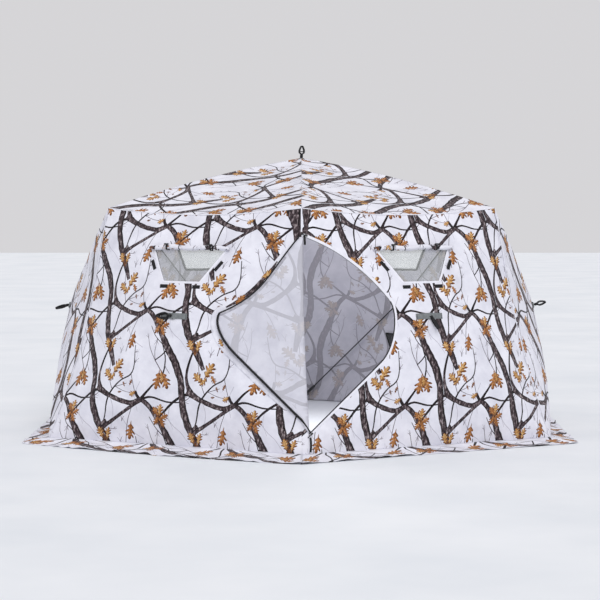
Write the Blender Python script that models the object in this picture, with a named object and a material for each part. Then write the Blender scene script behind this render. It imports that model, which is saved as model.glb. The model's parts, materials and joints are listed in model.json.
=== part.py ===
"""Ice fishing shelter: a six-sided pop-up tent with hub-and-rod walls, a snow skirt and a folding door.

Units are metres and +Z is up. The origin is the centre of the floor, on the ground. The corner of the
hexagon that holds the door points towards -Y. Left and right in the names of walls are as seen by
someone who stands in front of the door; left and right in the names of rods are as seen from outside
the wall that they hold up.
"""

import math

import bmesh
import bpy
from mathutils import Matrix, Vector

# Driving dimensions of the tent.
BASE_RADIUS = 2.15  # centre to a corner, on the floor
EAVE_RADIUS = 1.70  # centre to a corner, at the eave
EAVE_HEIGHT = 1.76
EAVE_SAG = 0.055  # how far the eave seam hangs below the line between its corners
EAVE_STEPS = 8
APEX_HEIGHT = 2.16
HUB_REACH = 1.87  # centre to the point where a wall is pulled outwards by its hub
HUB_HEIGHT = 0.98
FABRIC = 0.002
SEAM_GAP = 0.0003
CORNER_ANGLE = 60.0

# The snow skirt that lies on the ice around the walls.
SKIRT_INNER_RADIUS = 2.10
SKIRT_OUTER_RADIUS = 2.42
SKIRT_FABRIC = 0.003

# Each wall's name and the direction that it faces, in degrees from +X towards +Y.
WALLS = {
    "front_right": -60.0,
    "right": 0.0,
    "back_right": 60.0,
    "back_left": 120.0,
    "left": 180.0,
    "front_left": 240.0,
}
# Each corner's name and direction.
CORNERS = {
    "front": -90.0,
    "right_front": -30.0,
    "right_back": 30.0,
    "back": 90.0,
    "left_back": 150.0,
    "left_front": 210.0,
}

# Hubs and rods.
HUB_HOLE = 0.030  # radius of the hole in the fabric around a hub's cap
HUB_SINK = 0.034  # depth of a hub's middle behind the peak of the fabric
HUB_DISC_RADIUS = 0.045
HUB_DISC_HALF = 0.013
HUB_CAP_RADIUS = 0.022
HUB_CAP_TOP = 0.034
SLOT_WIDTH = 0.014
SLOT_START = 0.020
PIVOT_RADIUS = 0.034
ROD_RADIUS = 0.0055
ROD_HEEL = 0.009  # how far a rod runs past its pivot, towards the middle of the hub
BOOT_RADIUS = 0.013
BOOT_LENGTH = 0.16
WALL_TIP_BACK = 0.060  # rod tip to the corner, along the wall
ROOF_TIP_BACK = 0.090
TIP_DEPTH = 0.028  # rod tip to the plane through the corners, towards the inside
ROUND_STEPS = 10

# Pull loops of folded webbing on the hubs.
LOOP_WIDTH = 0.036
LOOP_THICKNESS = 0.005
LOOP_LENGTH = 0.105

# Windows in the upper facets of four walls: a trapezoid, measured down from the eave.
WINDOW_WALLS = ("front_right", "back_right", "back_left", "front_left")
WINDOW_TOP = 0.335
WINDOW_BOTTOM = 0.602
WINDOW_TOP_WIDTH = 0.630
WINDOW_BOTTOM_WIDTH = 0.300
FILM_THICKNESS = 0.001
FILM_MARGIN = 0.018
FILM_GAP = 0.0015

# Door opening in the front right wall. The first number runs up the front corner's edge from the
# floor, and the second runs away from that edge, in the plane of the fabric.
DOOR_LOW = (0.13, 0.0)
DOOR_LOW_END = (0.72, 0.59)
DOOR_SIDE = (1.19, 0.65)
DOOR_HIGH = (1.61, 0.0)
DOOR_SIDE_HANDLES = ((0.833, 0.703), (1.10, 0.73))
DOOR_ARC_RADIUS = 1.34
DOOR_CURVE_STEPS = 8
DOOR_HEM = 0.010  # strip of fabric left along the corner's edge
FLAP_START = 0.015
FLAP_SHRINK = 0.985
FLAP_MIDDLE = (1.0, 0.30)
HINGE_OFFSET = 0.012  # the flap's fold line stands this far in front of the corner's edge
FLAP_LIFT = 1.5  # degrees between the folded flap and the wall behind it

# Zip sliders on the seam beside the door opening.
SLIDER_BESIDE = 0.014
SLIDER_LIFT = 0.0015
SLIDER_THICKNESS = 0.005
SLIDER_START_LOW = 0.09
SLIDER_START_HIGH = 1.3  # degrees along the upper arc
SLIDER_OUTLINE = (
    (-0.006, -0.010),
    (0.006, -0.010),
    (0.006, 0.008),
    (0.003, 0.012),
    (0.003, 0.040),
    (-0.003, 0.040),
    (-0.003, 0.012),
    (-0.006, 0.008),
)

# Storage pocket that hangs inside the back right wall, in that wall's lower facet.
POCKET_UP = 0.34
POCKET_WIDTH = 0.34
POCKET_HEIGHT = 0.24
POCKET_THICKNESS = 0.004
POCKET_GAP = 0.006
CUT_DEPTH = 0.06
ROUND_ANGLE = math.radians(40)

COLOURS = {
    "white_fabric": ((0.80, 0.80, 0.85), 0.85, 0.0, 1.0),
    "flap_fabric": ((0.76, 0.76, 0.80), 0.85, 0.0, 1.0),
    "black_plastic": ((0.02, 0.02, 0.022), 0.45, 0.0, 1.0),
    "rod_fibreglass": ((0.025, 0.025, 0.028), 0.35, 0.0, 1.0),
    "black_webbing": ((0.018, 0.018, 0.020), 0.9, 0.0, 1.0),
    "clear_film": ((0.62, 0.66, 0.62), 0.2, 0.0, 0.4),
    "black_metal": ((0.05, 0.05, 0.055), 0.35, 0.8, 1.0),
    "dark_mesh": ((0.05, 0.05, 0.055), 0.9, 0.0, 1.0),
}


def clear_scene():
    for obj in list(bpy.data.objects):
        bpy.data.objects.remove(obj)


def material(name):
    colour, roughness, metallic, alpha = COLOURS[name]
    made = bpy.data.materials.get(name) or bpy.data.materials.new(name)
    made.use_nodes = True
    shader = made.node_tree.nodes["Principled BSDF"]
    shader.inputs["Base Color"].default_value = (*colour, 1.0)
    shader.inputs["Roughness"].default_value = roughness
    shader.inputs["Metallic"].default_value = metallic
    shader.inputs["Alpha"].default_value = alpha
    made.diffuse_color = (*colour, alpha)
    return made


def polar(radius, degrees, height):
    angle = math.radians(degrees)
    return Vector((radius * math.cos(angle), radius * math.sin(angle), height))


def add_object(name, points, faces, material_name, place=Matrix.Identity(4)):
    """One named object from points and faces in its own frame, with its faces turned outwards."""
    mesh = bpy.data.meshes.new(name)
    mesh.from_pydata([tuple(p) for p in points], [], faces)
    shape = bmesh.new()
    shape.from_mesh(mesh)
    bmesh.ops.recalc_face_normals(shape, faces=shape.faces)
    shape.to_mesh(mesh)
    shape.free()
    mesh.materials.append(material(material_name))
    obj = bpy.data.objects.new(name, mesh)
    obj.matrix_world = place
    bpy.context.scene.collection.objects.link(obj)
    return obj


def frame_at(origin, x_axis, z_axis):
    """A placement with the given Z axis, and its X axis as near to the given one as it can be."""
    z = z_axis.normalized()
    x = (x_axis - x_axis.dot(z) * z).normalized()
    y = z.cross(x)
    place = Matrix((x, y, z)).transposed().to_4x4()
    place.translation = origin
    return place


def prism(name, outline, low, high, material_name, place):
    """A flat piece: the outline in the frame's X and Y, from low to high along its Z."""
    count = len(outline)
    points = [(x, y, z) for z in (low, high) for x, y in outline]
    sides = [(i, (i + 1) % count, (i + 1) % count + count, i + count) for i in range(count)]
    faces = [tuple(range(count)), tuple(range(count, 2 * count)), *sides]
    return add_object(name, points, faces, material_name, place)


def lathe(name, profile, steps, material_name, place):
    """A turned piece around the frame's Z. The profile is (radius, height) and its ends are capped."""
    points = [
        (radius * math.cos(2 * math.pi * k / steps), radius * math.sin(2 * math.pi * k / steps), height)
        for radius, height in profile
        for k in range(steps)
    ]
    faces = [tuple(range(steps)), tuple(range((len(profile) - 1) * steps, len(profile) * steps))]
    for ring in range(len(profile) - 1):
        for k in range(steps):
            a = ring * steps + k
            b = ring * steps + (k + 1) % steps
            faces.append((a, b, b + steps, a + steps))
    obj = add_object(name, points, faces, material_name, place)
    obj.data.shade_smooth()
    obj.data.set_sharp_from_angle(angle=ROUND_ANGLE)
    return obj


def cut(obj, cutter):
    """Takes the cutter away from the object. The cutter stays as a hidden helper."""
    cutter.hide_render = True
    cutter.display_type = "WIRE"
    hole = obj.modifiers.new(cutter.name, "BOOLEAN")
    hole.operation = "DIFFERENCE"
    hole.solver = "EXACT"
    hole.object = cutter


def wall_corners(facing, inset):
    """Floor start, floor end, eave end and eave start of a wall, moved towards the inside by inset."""
    start, end = facing - CORNER_ANGLE / 2, facing + CORNER_ANGLE / 2
    along = polar(SEAM_GAP, facing + 90.0, 0.0)
    shrink = inset / math.cos(math.radians(CORNER_ANGLE / 2))
    foot = SKIRT_FABRIC + 2 * SEAM_GAP
    base = BASE_RADIUS - (BASE_RADIUS - EAVE_RADIUS) * foot / EAVE_HEIGHT
    return (
        polar(base - shrink, start, foot) + along,
        polar(base - shrink, end, foot) - along,
        polar(EAVE_RADIUS - shrink, end, EAVE_HEIGHT) - along,
        polar(EAVE_RADIUS - shrink, start, EAVE_HEIGHT) + along,
    )


def hub_peak(facing, inset=0.0):
    return polar(HUB_REACH - inset, facing, HUB_HEIGHT)


def eave_line(start, end, peak):
    """Points from one eave corner to the next, sagging within the plane of the upper facet."""
    down = (peak - (start + end) / 2).normalized()
    steps = [k / EAVE_STEPS for k in range(EAVE_STEPS + 1)]
    return [start.lerp(end, t) + down * EAVE_SAG * 4 * t * (1 - t) for t in steps]


def wall_normal(facing):
    """Direction square to the plane through a wall's four corners, outwards."""
    floor_start, floor_end, _, eave_start = wall_corners(facing, 0.0)
    return (floor_end - floor_start).cross(eave_start - floor_start).normalized()


def shell(name, outer_rim, outer_peak, inner_rim, inner_peak, material_name):
    """Fabric stretched from a closed rim to a peak, as a thin closed body."""
    count = len(outer_rim)
    points = [*outer_rim, outer_peak, *inner_rim, inner_peak]
    inner = count + 1
    faces = []
    for i in range(count):
        j = (i + 1) % count
        faces.append((i, j, count))
        faces.append((inner + i, inner + count, inner + j))
        faces.append((i, inner + i, inner + j, j))
    return add_object(name, points, faces, material_name)


def hub_hole(obj, peak, normal):
    side = Vector((0.0, 0.0, 1.0)) if abs(normal.z) < 0.9 else Vector((1.0, 0.0, 0.0))
    profile = ((HUB_HOLE, -CUT_DEPTH), (HUB_HOLE, CUT_DEPTH))
    place = frame_at(peak, side, normal)
    cut(obj, lathe("cut_hub_" + obj.name, profile, 2 * ROUND_STEPS, "black_plastic", place))


def upper_facet(facing):
    """Frame of a wall's upper facet: origin at the eave's middle, X along the eave, Y down, Z inwards."""
    _, _, eave_end, eave_start = wall_corners(facing, 0.0)
    middle = (eave_start + eave_end) / 2
    along = eave_end - eave_start
    down = hub_peak(facing) - middle
    return frame_at(middle, along, along.cross(down))


def window_outline(margin):
    top, bottom = WINDOW_TOP_WIDTH / 2 + margin, WINDOW_BOTTOM_WIDTH / 2 + margin
    return (
        (-top, WINDOW_TOP - margin),
        (top, WINDOW_TOP - margin),
        (bottom, WINDOW_BOTTOM + margin),
        (-bottom, WINDOW_BOTTOM + margin),
    )


def add_window(wall, name, facing):
    place = upper_facet(facing)
    hole = prism("cut_window_" + name, window_outline(0.0), -CUT_DEPTH, CUT_DEPTH, "clear_film", place)
    cut(wall, hole)
    inside = FABRIC + FILM_GAP
    prism(
        "window_film_" + name,
        window_outline(FILM_MARGIN),
        inside,
        inside + FILM_THICKNESS,
        "clear_film",
        place,
    )


def front_facet(side):
    """Frame of the facet beside the front corner's edge, to the right (side 1) or left (side -1).

    X runs up the edge from the floor, Y runs away from the edge and Z is square to both.
    """
    foot = polar(BASE_RADIUS, CORNERS["front"], 0.0)
    up = polar(EAVE_RADIUS, CORNERS["front"], EAVE_HEIGHT) - foot
    peak = hub_peak(WALLS["front_right" if side > 0 else "front_left"])
    return frame_at(foot, up, up.cross(peak - foot))


def door_arc():
    """Centre, start angle and end angle of the upper edge of the door, in the front facet's frame."""
    high, side = Vector(DOOR_HIGH), Vector(DOOR_SIDE)
    chord = side - high
    away = Vector((-chord.y, chord.x)).normalized()
    rise = math.sqrt(DOOR_ARC_RADIUS**2 - (chord.length / 2) ** 2)
    centre = (high + side) / 2 + away * rise
    start, end = high - centre, side - centre
    return centre, math.atan2(start.y, start.x), math.atan2(end.y, end.x)


def door_outline():
    """The door opening: straight lower edge, rounded side corner and upper arc, then the hem."""
    steps = [k / DOOR_CURVE_STEPS for k in range(DOOR_CURVE_STEPS + 1)]
    a, d = Vector(DOOR_LOW_END), Vector(DOOR_SIDE)
    b, c = Vector(DOOR_SIDE_HANDLES[0]), Vector(DOOR_SIDE_HANDLES[1])
    side = [(1 - t) ** 3 * a + 3 * (1 - t) ** 2 * t * b + 3 * (1 - t) * t**2 * c + t**3 * d for t in steps]
    centre, start, end = door_arc()
    arc = []
    for t in steps[1:]:
        angle = end + (start - end) * t
        arc.append(centre + DOOR_ARC_RADIUS * Vector((math.cos(angle), math.sin(angle))))
    return [Vector(DOOR_LOW), *side, *arc]


def clipped(outline, least):
    """The outline with the part nearer to the corner's edge than least cut off."""
    kept = []
    for here, following in zip(outline, outline[1:]):
        if here.y >= least:
            kept.append(here)
        if (here.y < least) != (following.y < least):
            kept.append(here.lerp(following, (least - here.y) / (following.y - here.y)))
    return [(p.x, p.y) for p in kept]


def add_door(wall):
    place = front_facet(1)
    outline = door_outline()
    hole = prism("cut_door", clipped(outline, DOOR_HEM), -CUT_DEPTH, CUT_DEPTH, "flap_fabric", place)
    cut(wall, hole)
    middle = Vector(FLAP_MIDDLE)
    smaller = [middle + (p - middle) * FLAP_SHRINK for p in outline]
    smaller = [Vector((smaller[0].x, 0.0)), *smaller[1:-1], Vector((smaller[-1].x, 0.0))]
    rest = flap_place()
    prism("door_flap", clipped(smaller, FLAP_START), -FABRIC / 2, FABRIC / 2, "flap_fabric", rest)


def flap_place():
    """The folded flap's frame: X up its fold line, Y away from it, over the front left wall."""
    left = front_facet(-1)
    up = left.col[0].xyz
    outwards = Vector((0.0, -1.0, 0.0))
    outwards = (outwards - outwards.dot(up) * up).normalized()
    turn = Matrix.Rotation(math.radians(FLAP_LIFT), 3, up)
    across = turn @ left.col[1].xyz
    return frame_at(left.translation + outwards * HINGE_OFFSET, up, up.cross(across))


def add_zip_sliders():
    facet = front_facet(1)
    inwards = facet.col[2].xyz
    if inwards.y < 0:
        inwards = -inwards
    lift = -(SLIDER_LIFT + SLIDER_THICKNESS) * inwards
    low = Vector(DOOR_LOW)
    along = (Vector(DOOR_LOW_END) - low).normalized()
    beside = Vector((-along.y, along.x))
    spot = low + along * SLIDER_START_LOW + beside * SLIDER_BESIDE
    add_slider("zip_slider_lower", facet, spot, along, lift, inwards)
    centre, start, _ = door_arc()
    angle = start + math.radians(SLIDER_START_HIGH)
    outwards = Vector((math.cos(angle), math.sin(angle)))
    spot = centre + outwards * (DOOR_ARC_RADIUS + SLIDER_BESIDE)
    add_slider("zip_slider_upper", facet, spot, Vector((-outwards.y, outwards.x)), lift, inwards)


def add_slider(name, facet, spot, along, lift, inwards):
    """A zip slider with its pull tab, at a spot in the facet's frame and turned along the zip."""
    origin = facet @ Vector((spot.x, spot.y, 0.0)) + lift
    direction = facet.to_3x3() @ Vector((along.x, along.y, 0.0))
    across = inwards.cross(direction)
    place = frame_at(origin, across, inwards)
    prism(name, SLIDER_OUTLINE, 0.0, SLIDER_THICKNESS, "black_metal", place)


def add_wall(name, facing):
    rims = []
    for inset in (0.0, FABRIC):
        floor_start, floor_end, eave_end, eave_start = wall_corners(facing, inset)
        eave = eave_line(eave_end, eave_start, hub_peak(facing, inset))
        rims.append([floor_start, floor_end, *eave])
    peaks = [hub_peak(facing, inset) for inset in (0.0, FABRIC)]
    wall = shell("wall_" + name, rims[0], peaks[0], rims[1], peaks[1], "white_fabric")
    hub_hole(wall, peaks[0], wall_normal(facing))
    if name in WINDOW_WALLS:
        add_window(wall, name, facing)
    if name == "front_right":
        add_door(wall)


def add_roof():
    rim = []
    for facing in WALLS.values():
        start = polar(EAVE_RADIUS, facing - CORNER_ANGLE / 2, EAVE_HEIGHT)
        end = polar(EAVE_RADIUS, facing + CORNER_ANGLE / 2, EAVE_HEIGHT)
        rim += eave_line(start, end, hub_peak(facing))[:-1]
    up = Vector((0.0, 0.0, 1.0))
    peak = up * APEX_HEIGHT
    inner_rim = [p + up * 2 * SEAM_GAP for p in rim]
    outer_rim = [p + up * FABRIC for p in inner_rim]
    roof = shell("roof_canopy", outer_rim, peak, inner_rim, peak - up * FABRIC, "white_fabric")
    hub_hole(roof, peak, up)


def add_skirt():
    """A flat hexagonal ring on the ice."""
    rings = []
    for radius, height in (
        (SKIRT_INNER_RADIUS, 0.0),
        (SKIRT_OUTER_RADIUS, 0.0),
        (SKIRT_OUTER_RADIUS, SKIRT_FABRIC),
        (SKIRT_INNER_RADIUS, SKIRT_FABRIC),
    ):
        rings.append([polar(radius, degrees, height) for degrees in CORNERS.values()])
    count = len(CORNERS)
    faces = []
    for ring in range(len(rings)):
        following = (ring + 1) % len(rings)
        for k in range(count):
            j = (k + 1) % count
            faces.append((ring * count + k, ring * count + j, following * count + j, following * count + k))
    add_object("snow_skirt", [p for ring in rings for p in ring], faces, "white_fabric")


def rod_profile(length):
    """Radius and distance along a rod: the heel in the hub, the rod and the boot on its tip."""
    return (
        (ROD_RADIUS * 0.6, -ROD_HEEL),
        (ROD_RADIUS, -ROD_HEEL * 0.6),
        (ROD_RADIUS, length - BOOT_LENGTH),
        (BOOT_RADIUS, length - BOOT_LENGTH + 0.012),
        (BOOT_RADIUS, length - 0.010),
        (BOOT_RADIUS * 0.6, length),
    )


def add_hub(name, centre, normal, tips):
    """A slotted hub with its cap, the pull loop on it and one rod to each named tip."""
    up = Vector((0.0, 0.0, 1.0)) if abs(normal.z) < 0.9 else Vector((0.0, -1.0, 0.0))
    place = frame_at(centre, up, normal)
    profile = (
        (HUB_DISC_RADIUS * 0.9, -HUB_DISC_HALF),
        (HUB_DISC_RADIUS, -HUB_DISC_HALF * 0.7),
        (HUB_DISC_RADIUS, HUB_DISC_HALF * 0.7),
        (HUB_DISC_RADIUS * 0.9, HUB_DISC_HALF),
        (HUB_CAP_RADIUS, HUB_DISC_HALF),
        (HUB_CAP_RADIUS, HUB_CAP_TOP - 0.003),
        (HUB_CAP_RADIUS - 0.003, HUB_CAP_TOP),
    )
    hub = lathe("hub_" + name, profile, 3 * ROUND_STEPS, "black_plastic", place)
    wide, thick = LOOP_WIDTH / 2, LOOP_THICKNESS / 2
    strap = ((-thick, -wide), (thick, -wide), (thick, wide), (-thick, wide))
    foot = HUB_CAP_TOP + SEAM_GAP
    prism("pull_loop_" + name, strap, foot, foot + LOOP_LENGTH, "black_webbing", place)
    for rod_name, tip in tips.items():
        towards = tip - centre
        towards = (towards - towards.dot(normal) * normal).normalized()
        slot_place = frame_at(centre, towards, normal)
        side = SLOT_WIDTH / 2
        reach = HUB_DISC_RADIUS * 1.3
        deep = 1.5 * HUB_DISC_HALF
        slot = ((SLOT_START, -side), (reach, -side), (reach, side), (SLOT_START, side))
        cut(hub, prism("cut_slot_" + rod_name, slot, -deep, deep, "black_plastic", slot_place))
        pivot = centre + towards * PIVOT_RADIUS
        along = tip - pivot
        rod_place = frame_at(pivot, normal, along)
        lathe("rod_" + rod_name, rod_profile(along.length), ROUND_STEPS, "rod_fibreglass", rod_place)


def wall_tips(name, facing):
    """Where the four rods of a wall end, near its corners and a little inside them."""
    normal = wall_normal(facing)
    peak = hub_peak(facing)
    names = ("lower_left", "lower_right", "upper_right", "upper_left")
    tips = {}
    for corner_name, corner in zip(names, wall_corners(facing, 0.0)):
        back = (peak - corner).normalized() * WALL_TIP_BACK
        back -= back.dot(normal) * normal
        tips[name + "_" + corner_name] = corner + back - normal * TIP_DEPTH
    return tips


def roof_tips():
    tips = {}
    for corner_name, degrees in CORNERS.items():
        tips["roof_" + corner_name] = polar(EAVE_RADIUS - ROOF_TIP_BACK, degrees, EAVE_HEIGHT - TIP_DEPTH)
    return tips


def add_frame():
    for name, facing in WALLS.items():
        normal = wall_normal(facing)
        add_hub(name, hub_peak(facing) - normal * HUB_SINK, normal, wall_tips(name, facing))
    up = Vector((0.0, 0.0, 1.0))
    add_hub("roof", up * (APEX_HEIGHT - HUB_SINK), up, roof_tips())


def add_pocket():
    """A flat mesh pocket, wide at the top, against the inside of the back right wall's lower facet."""
    facing = WALLS["back_right"]
    floor_start, floor_end, _, _ = wall_corners(facing, 0.0)
    middle = (floor_start + floor_end) / 2
    along = floor_end - floor_start
    up = hub_peak(facing) - middle
    place = frame_at(middle, along, up.cross(along))
    top, bottom = POCKET_WIDTH / 2, POCKET_WIDTH / 4
    outline = (
        (-bottom, -POCKET_UP),
        (bottom, -POCKET_UP),
        (top, -POCKET_UP - POCKET_HEIGHT),
        (-top, -POCKET_UP - POCKET_HEIGHT),
    )
    start = FABRIC + POCKET_GAP
    prism("inner_pocket", outline, start, start + POCKET_THICKNESS, "dark_mesh", place)


def main():
    clear_scene()
    for name, facing in WALLS.items():
        add_wall(name, facing)
    add_roof()
    add_skirt()
    add_frame()
    add_zip_sliders()
    add_pocket()


main()
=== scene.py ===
"""Looks of the ice fishing shelter: printed winter fabric, door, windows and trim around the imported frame."""

import json
import math

import bpy
import numpy as np
from mathutils import Matrix, Vector, noise
from mathutils.geometry import delaunay_2d_cdt

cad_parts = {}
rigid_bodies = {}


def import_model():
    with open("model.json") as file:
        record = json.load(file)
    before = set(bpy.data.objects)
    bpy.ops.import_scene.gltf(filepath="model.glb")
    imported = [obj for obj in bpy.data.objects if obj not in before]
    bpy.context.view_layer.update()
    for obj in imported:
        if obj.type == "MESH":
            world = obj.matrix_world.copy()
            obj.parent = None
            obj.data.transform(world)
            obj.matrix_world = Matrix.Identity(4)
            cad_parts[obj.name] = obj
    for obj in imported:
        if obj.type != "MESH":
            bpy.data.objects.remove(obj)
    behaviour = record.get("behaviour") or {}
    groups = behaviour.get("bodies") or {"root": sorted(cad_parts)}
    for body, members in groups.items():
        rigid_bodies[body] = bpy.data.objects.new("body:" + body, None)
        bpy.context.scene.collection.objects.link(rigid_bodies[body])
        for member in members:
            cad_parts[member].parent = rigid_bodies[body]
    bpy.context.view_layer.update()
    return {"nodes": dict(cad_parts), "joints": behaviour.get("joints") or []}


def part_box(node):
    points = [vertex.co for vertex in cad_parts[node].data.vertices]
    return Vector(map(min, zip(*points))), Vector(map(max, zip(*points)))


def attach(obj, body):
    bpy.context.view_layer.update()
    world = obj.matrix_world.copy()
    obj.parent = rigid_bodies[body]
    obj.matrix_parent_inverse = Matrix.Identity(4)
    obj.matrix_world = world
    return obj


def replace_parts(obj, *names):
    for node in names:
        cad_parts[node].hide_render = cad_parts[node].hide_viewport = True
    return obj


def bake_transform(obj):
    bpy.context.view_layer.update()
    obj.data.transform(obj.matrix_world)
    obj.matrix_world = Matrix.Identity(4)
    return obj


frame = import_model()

# Main places of the tent, read from the frame.
WALLS = {
    "front_right": -60.0,
    "right": 0.0,
    "back_right": 60.0,
    "back_left": 120.0,
    "left": 180.0,
    "front_left": 240.0,
}
WINDOW_WALLS = ("front_right", "back_right", "back_left", "front_left")
BASE_RADIUS = 2.0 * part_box("wall_right")[1][1]
EAVE_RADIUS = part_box("roof_canopy")[1][1]
EAVE_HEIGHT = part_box("wall_right")[1][2]
FOOT_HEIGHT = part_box("wall_right")[0][2]
APEX_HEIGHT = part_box("hub_roof")[1][2]
EAVE_MIDDLE = EAVE_RADIUS * math.cos(math.radians(30.0))
# How far the eave hangs between its corners, and how thick the fabric is.
EAVE_SAG = 0.055
CLOTH = 0.0014

# Print on the fabric: its repeat and the steps of its outlines, in metres.
PRINT_HEIGHT = 0.655
PRINT_WIDTH = 0.78
PLAIN_WIDTH = 0.70
PRINT_STEP = 0.026
GRID_STEP = 0.05
HUB_HOLE = 0.0235
# A leaf no longer than this is all edge, and a branch no wider than this has no lighter bark.
SMALL_LEAF = 0.06
THIN_BRANCH = 0.018


def polar(radius, degrees, height=0.0):
    angle = math.radians(degrees)
    return Vector((radius * math.cos(angle), radius * math.sin(angle), height))


# ---------------------------------------------------------------- materials


class Shader:
    """A Principled material that is built node by node."""

    def __init__(self, name, **values):
        self.material = bpy.data.materials.new(name)
        self.material.use_nodes = True
        self.nodes = self.material.node_tree.nodes
        self.links = self.material.node_tree.links
        self.main = self.nodes["Principled BSDF"]
        for socket, value in values.items():
            self.main.inputs[socket.replace("_", " ").title().replace("Ior", "IOR")].default_value = value

    def node(self, kind, settings=None, **inputs):
        made = self.nodes.new(kind)
        for key, value in (settings or {}).items():
            setattr(made, key, value)
        for key, value in inputs.items():
            socket = made.inputs[int(key[1:]) if key[0] == "i" and key[1:].isdigit() else key]
            if isinstance(value, bpy.types.NodeSocket):
                self.links.new(value, socket)
            else:
                socket.default_value = value
        return made

    def coordinates(self, scale=(1.0, 1.0, 1.0), turn=0.0, source="UV"):
        place = self.node("ShaderNodeTexCoord")
        mapping = self.node("ShaderNodeMapping", Vector=place.outputs[source])
        mapping.inputs["Scale"].default_value = scale
        mapping.inputs["Rotation"].default_value = (0.0, 0.0, turn)
        return mapping.outputs[0]

    def noise(self, where, scale, detail=3.0, roughness=0.55):
        made = self.node("ShaderNodeTexNoise", Vector=where, Scale=scale, Detail=detail, Roughness=roughness)
        return made.outputs["Fac"]

    def ramp(self, value, stops):
        made = self.node("ShaderNodeValToRGB", Fac=value)
        ramp = made.color_ramp
        while len(ramp.elements) < len(stops):
            ramp.elements.new(0.5)
        for element, (place, colour) in zip(ramp.elements, stops):
            element.position = place
            element.color = (*colour, 1.0)
        return made.outputs[0]

    def bump(self, height, strength, distance):
        """Raises the surface by a height, on top of any bump set before."""
        made = self.node("ShaderNodeBump", Height=height, Strength=strength, Distance=distance)
        for link in list(self.main.inputs["Normal"].links):
            self.links.new(link.from_socket, made.inputs["Normal"])
        self.links.new(made.outputs[0], self.main.inputs["Normal"])

    def colour(self, socket):
        self.links.new(socket, self.main.inputs["Base Color"])

    def rough(self, value, low, high):
        made = self.node("ShaderNodeMapRange", Value=value)
        made.inputs["To Min"].default_value = low
        made.inputs["To Max"].default_value = high
        self.links.new(made.outputs[0], self.main.inputs["Roughness"])

    def weave(self, pitch=0.0016):
        """Height of a plain weave: two crossed sets of threads."""
        where = self.coordinates()
        bands = []
        for direction in ("X", "Y"):
            made = self.node(
                "ShaderNodeTexWave",
                {"wave_type": "BANDS", "bands_direction": direction, "wave_profile": "SIN"},
                Vector=where,
                Scale=0.314 / pitch,
                Distortion=0.0,
            )
            bands.append(made.outputs["Fac"])
        return self.node("ShaderNodeMath", {"operation": "MULTIPLY"}, i0=bands[0], i1=bands[1]).outputs[0]


def linear(*srgb):
    """A colour given in 0 to 255 screen values, as the linear values that a shader takes."""
    return tuple((c / 255 / 12.92) if c <= 10.3 else ((c / 255 + 0.055) / 1.055) ** 2.4 for c in srgb)


def cloth_material(name, stops, scale, stretch=(1.0, 1.0, 1.0), roughness=(0.72, 0.9), weave=0.25, turn=0.0):
    """Coated winter fabric: mottled colour, a fine weave and a soft sheen."""
    shader = Shader(name, sheen_weight=0.06, specular_ior_level=0.28)
    where = shader.coordinates(stretch, turn)
    mottle = shader.noise(where, scale, 4.0, 0.6)
    shader.colour(shader.ramp(mottle, stops))
    shader.rough(shader.noise(shader.coordinates(), 9.0), *roughness)
    shader.bump(shader.noise(shader.coordinates((1.0, 0.55, 1.0), 0.5), 13.0, 4.0, 0.62), 0.35, 0.006)
    shader.bump(shader.weave(), weave, 0.0004)
    return shader.material


def tones(dark, light, low=0.3, high=0.7):
    """The two stops of a ramp between two colours given in screen values."""
    return [(low, linear(*dark)), (high, linear(*light))]


def faded(stops, towards, share):
    return [(place, tuple(a + (b - a) * share for a, b in zip(colour, towards))) for place, colour in stops]


WHITE = tones((214, 214, 225), (234, 234, 243), 0.32, 0.62)
# The inside face is painted greyer than the flap's reverse, which is the same side of the cloth: painted shade
# of the tent's inside.
INSIDE_SHADE_TONE = linear(184, 183, 192)
REVERSE = linear(212, 212, 222)
# Dark tones that the inks of the inside and reverse faces are pulled towards: the print seen through the cloth,
# painted in as its shade.
LEAF_SHADE = linear(112, 108, 96)
BARK_SHADE = linear(60, 52, 56)
PRINT_STOPS = {
    "faint": (tones((170, 168, 180), (202, 200, 211)), 30.0),
    "twig": (tones((60, 50, 56), (120, 112, 120), 0.35, 0.65), 30.0),
    "bark_edge": (tones((14, 9, 11), (48, 37, 41), 0.35, 0.7), 30.0),
    "bark": ([(0.36, linear(30, 22, 25)), (0.53, linear(74, 61, 65)), (0.66, linear(166, 154, 156))], 62.0),
    "leaf_edge": (tones((70, 38, 18), (140, 88, 46)), 40.0),
    "leaf": (
        [(0.32, linear(160, 106, 54)), (0.5, linear(198, 152, 92)), (0.68, linear(230, 200, 150))], 52.0
    ),
    "leaf_orange": (
        [(0.32, linear(118, 72, 36)), (0.52, linear(176, 118, 68)), (0.7, linear(210, 162, 110))], 52.0
    ),
}
INKS = ("white", "faint", "twig", "bark_edge", "bark", "leaf_edge", "leaf", "leaf_orange")


def print_materials(name, base, fade):
    """The white ground and each ink of the print, faded towards the ground by a share."""
    whitest = WHITE[1][1]
    ground = [(place, tuple(b * c / w for b, c, w in zip(base, colour, whitest))) for place, colour in WHITE]
    made = [cloth_material(name + "_white", ground, 5.0)]
    for ink in INKS[1:]:
        stops, scale = PRINT_STOPS[ink]
        # Inks of a faded face are first pulled towards dark tones: painted shade of the print seen through the
        # cloth.
        if fade and ink != "faint":
            stops = faded(stops, LEAF_SHADE if ink.startswith("leaf") else BARK_SHADE, 0.7)
        stretch = (1.0, 0.45, 1.0) if ink.startswith("bark") else (1.0, 1.0, 1.0)
        made.append(cloth_material(name + "_" + ink, faded(stops, base, fade), scale, stretch))
    return made


OUTSIDE_CLOTH = print_materials("fabric", linear(232, 232, 241), 0.0)
# Inside face: a greyer ground as painted shade, with the print faded only half, so that it shows as painted
# light through the cloth.
INSIDE_SHADED_CLOTH = print_materials("fabric_inside_shaded", INSIDE_SHADE_TONE, 0.5)
REVERSE_CLOTH = print_materials("fabric_reverse", REVERSE, 0.70)


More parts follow.
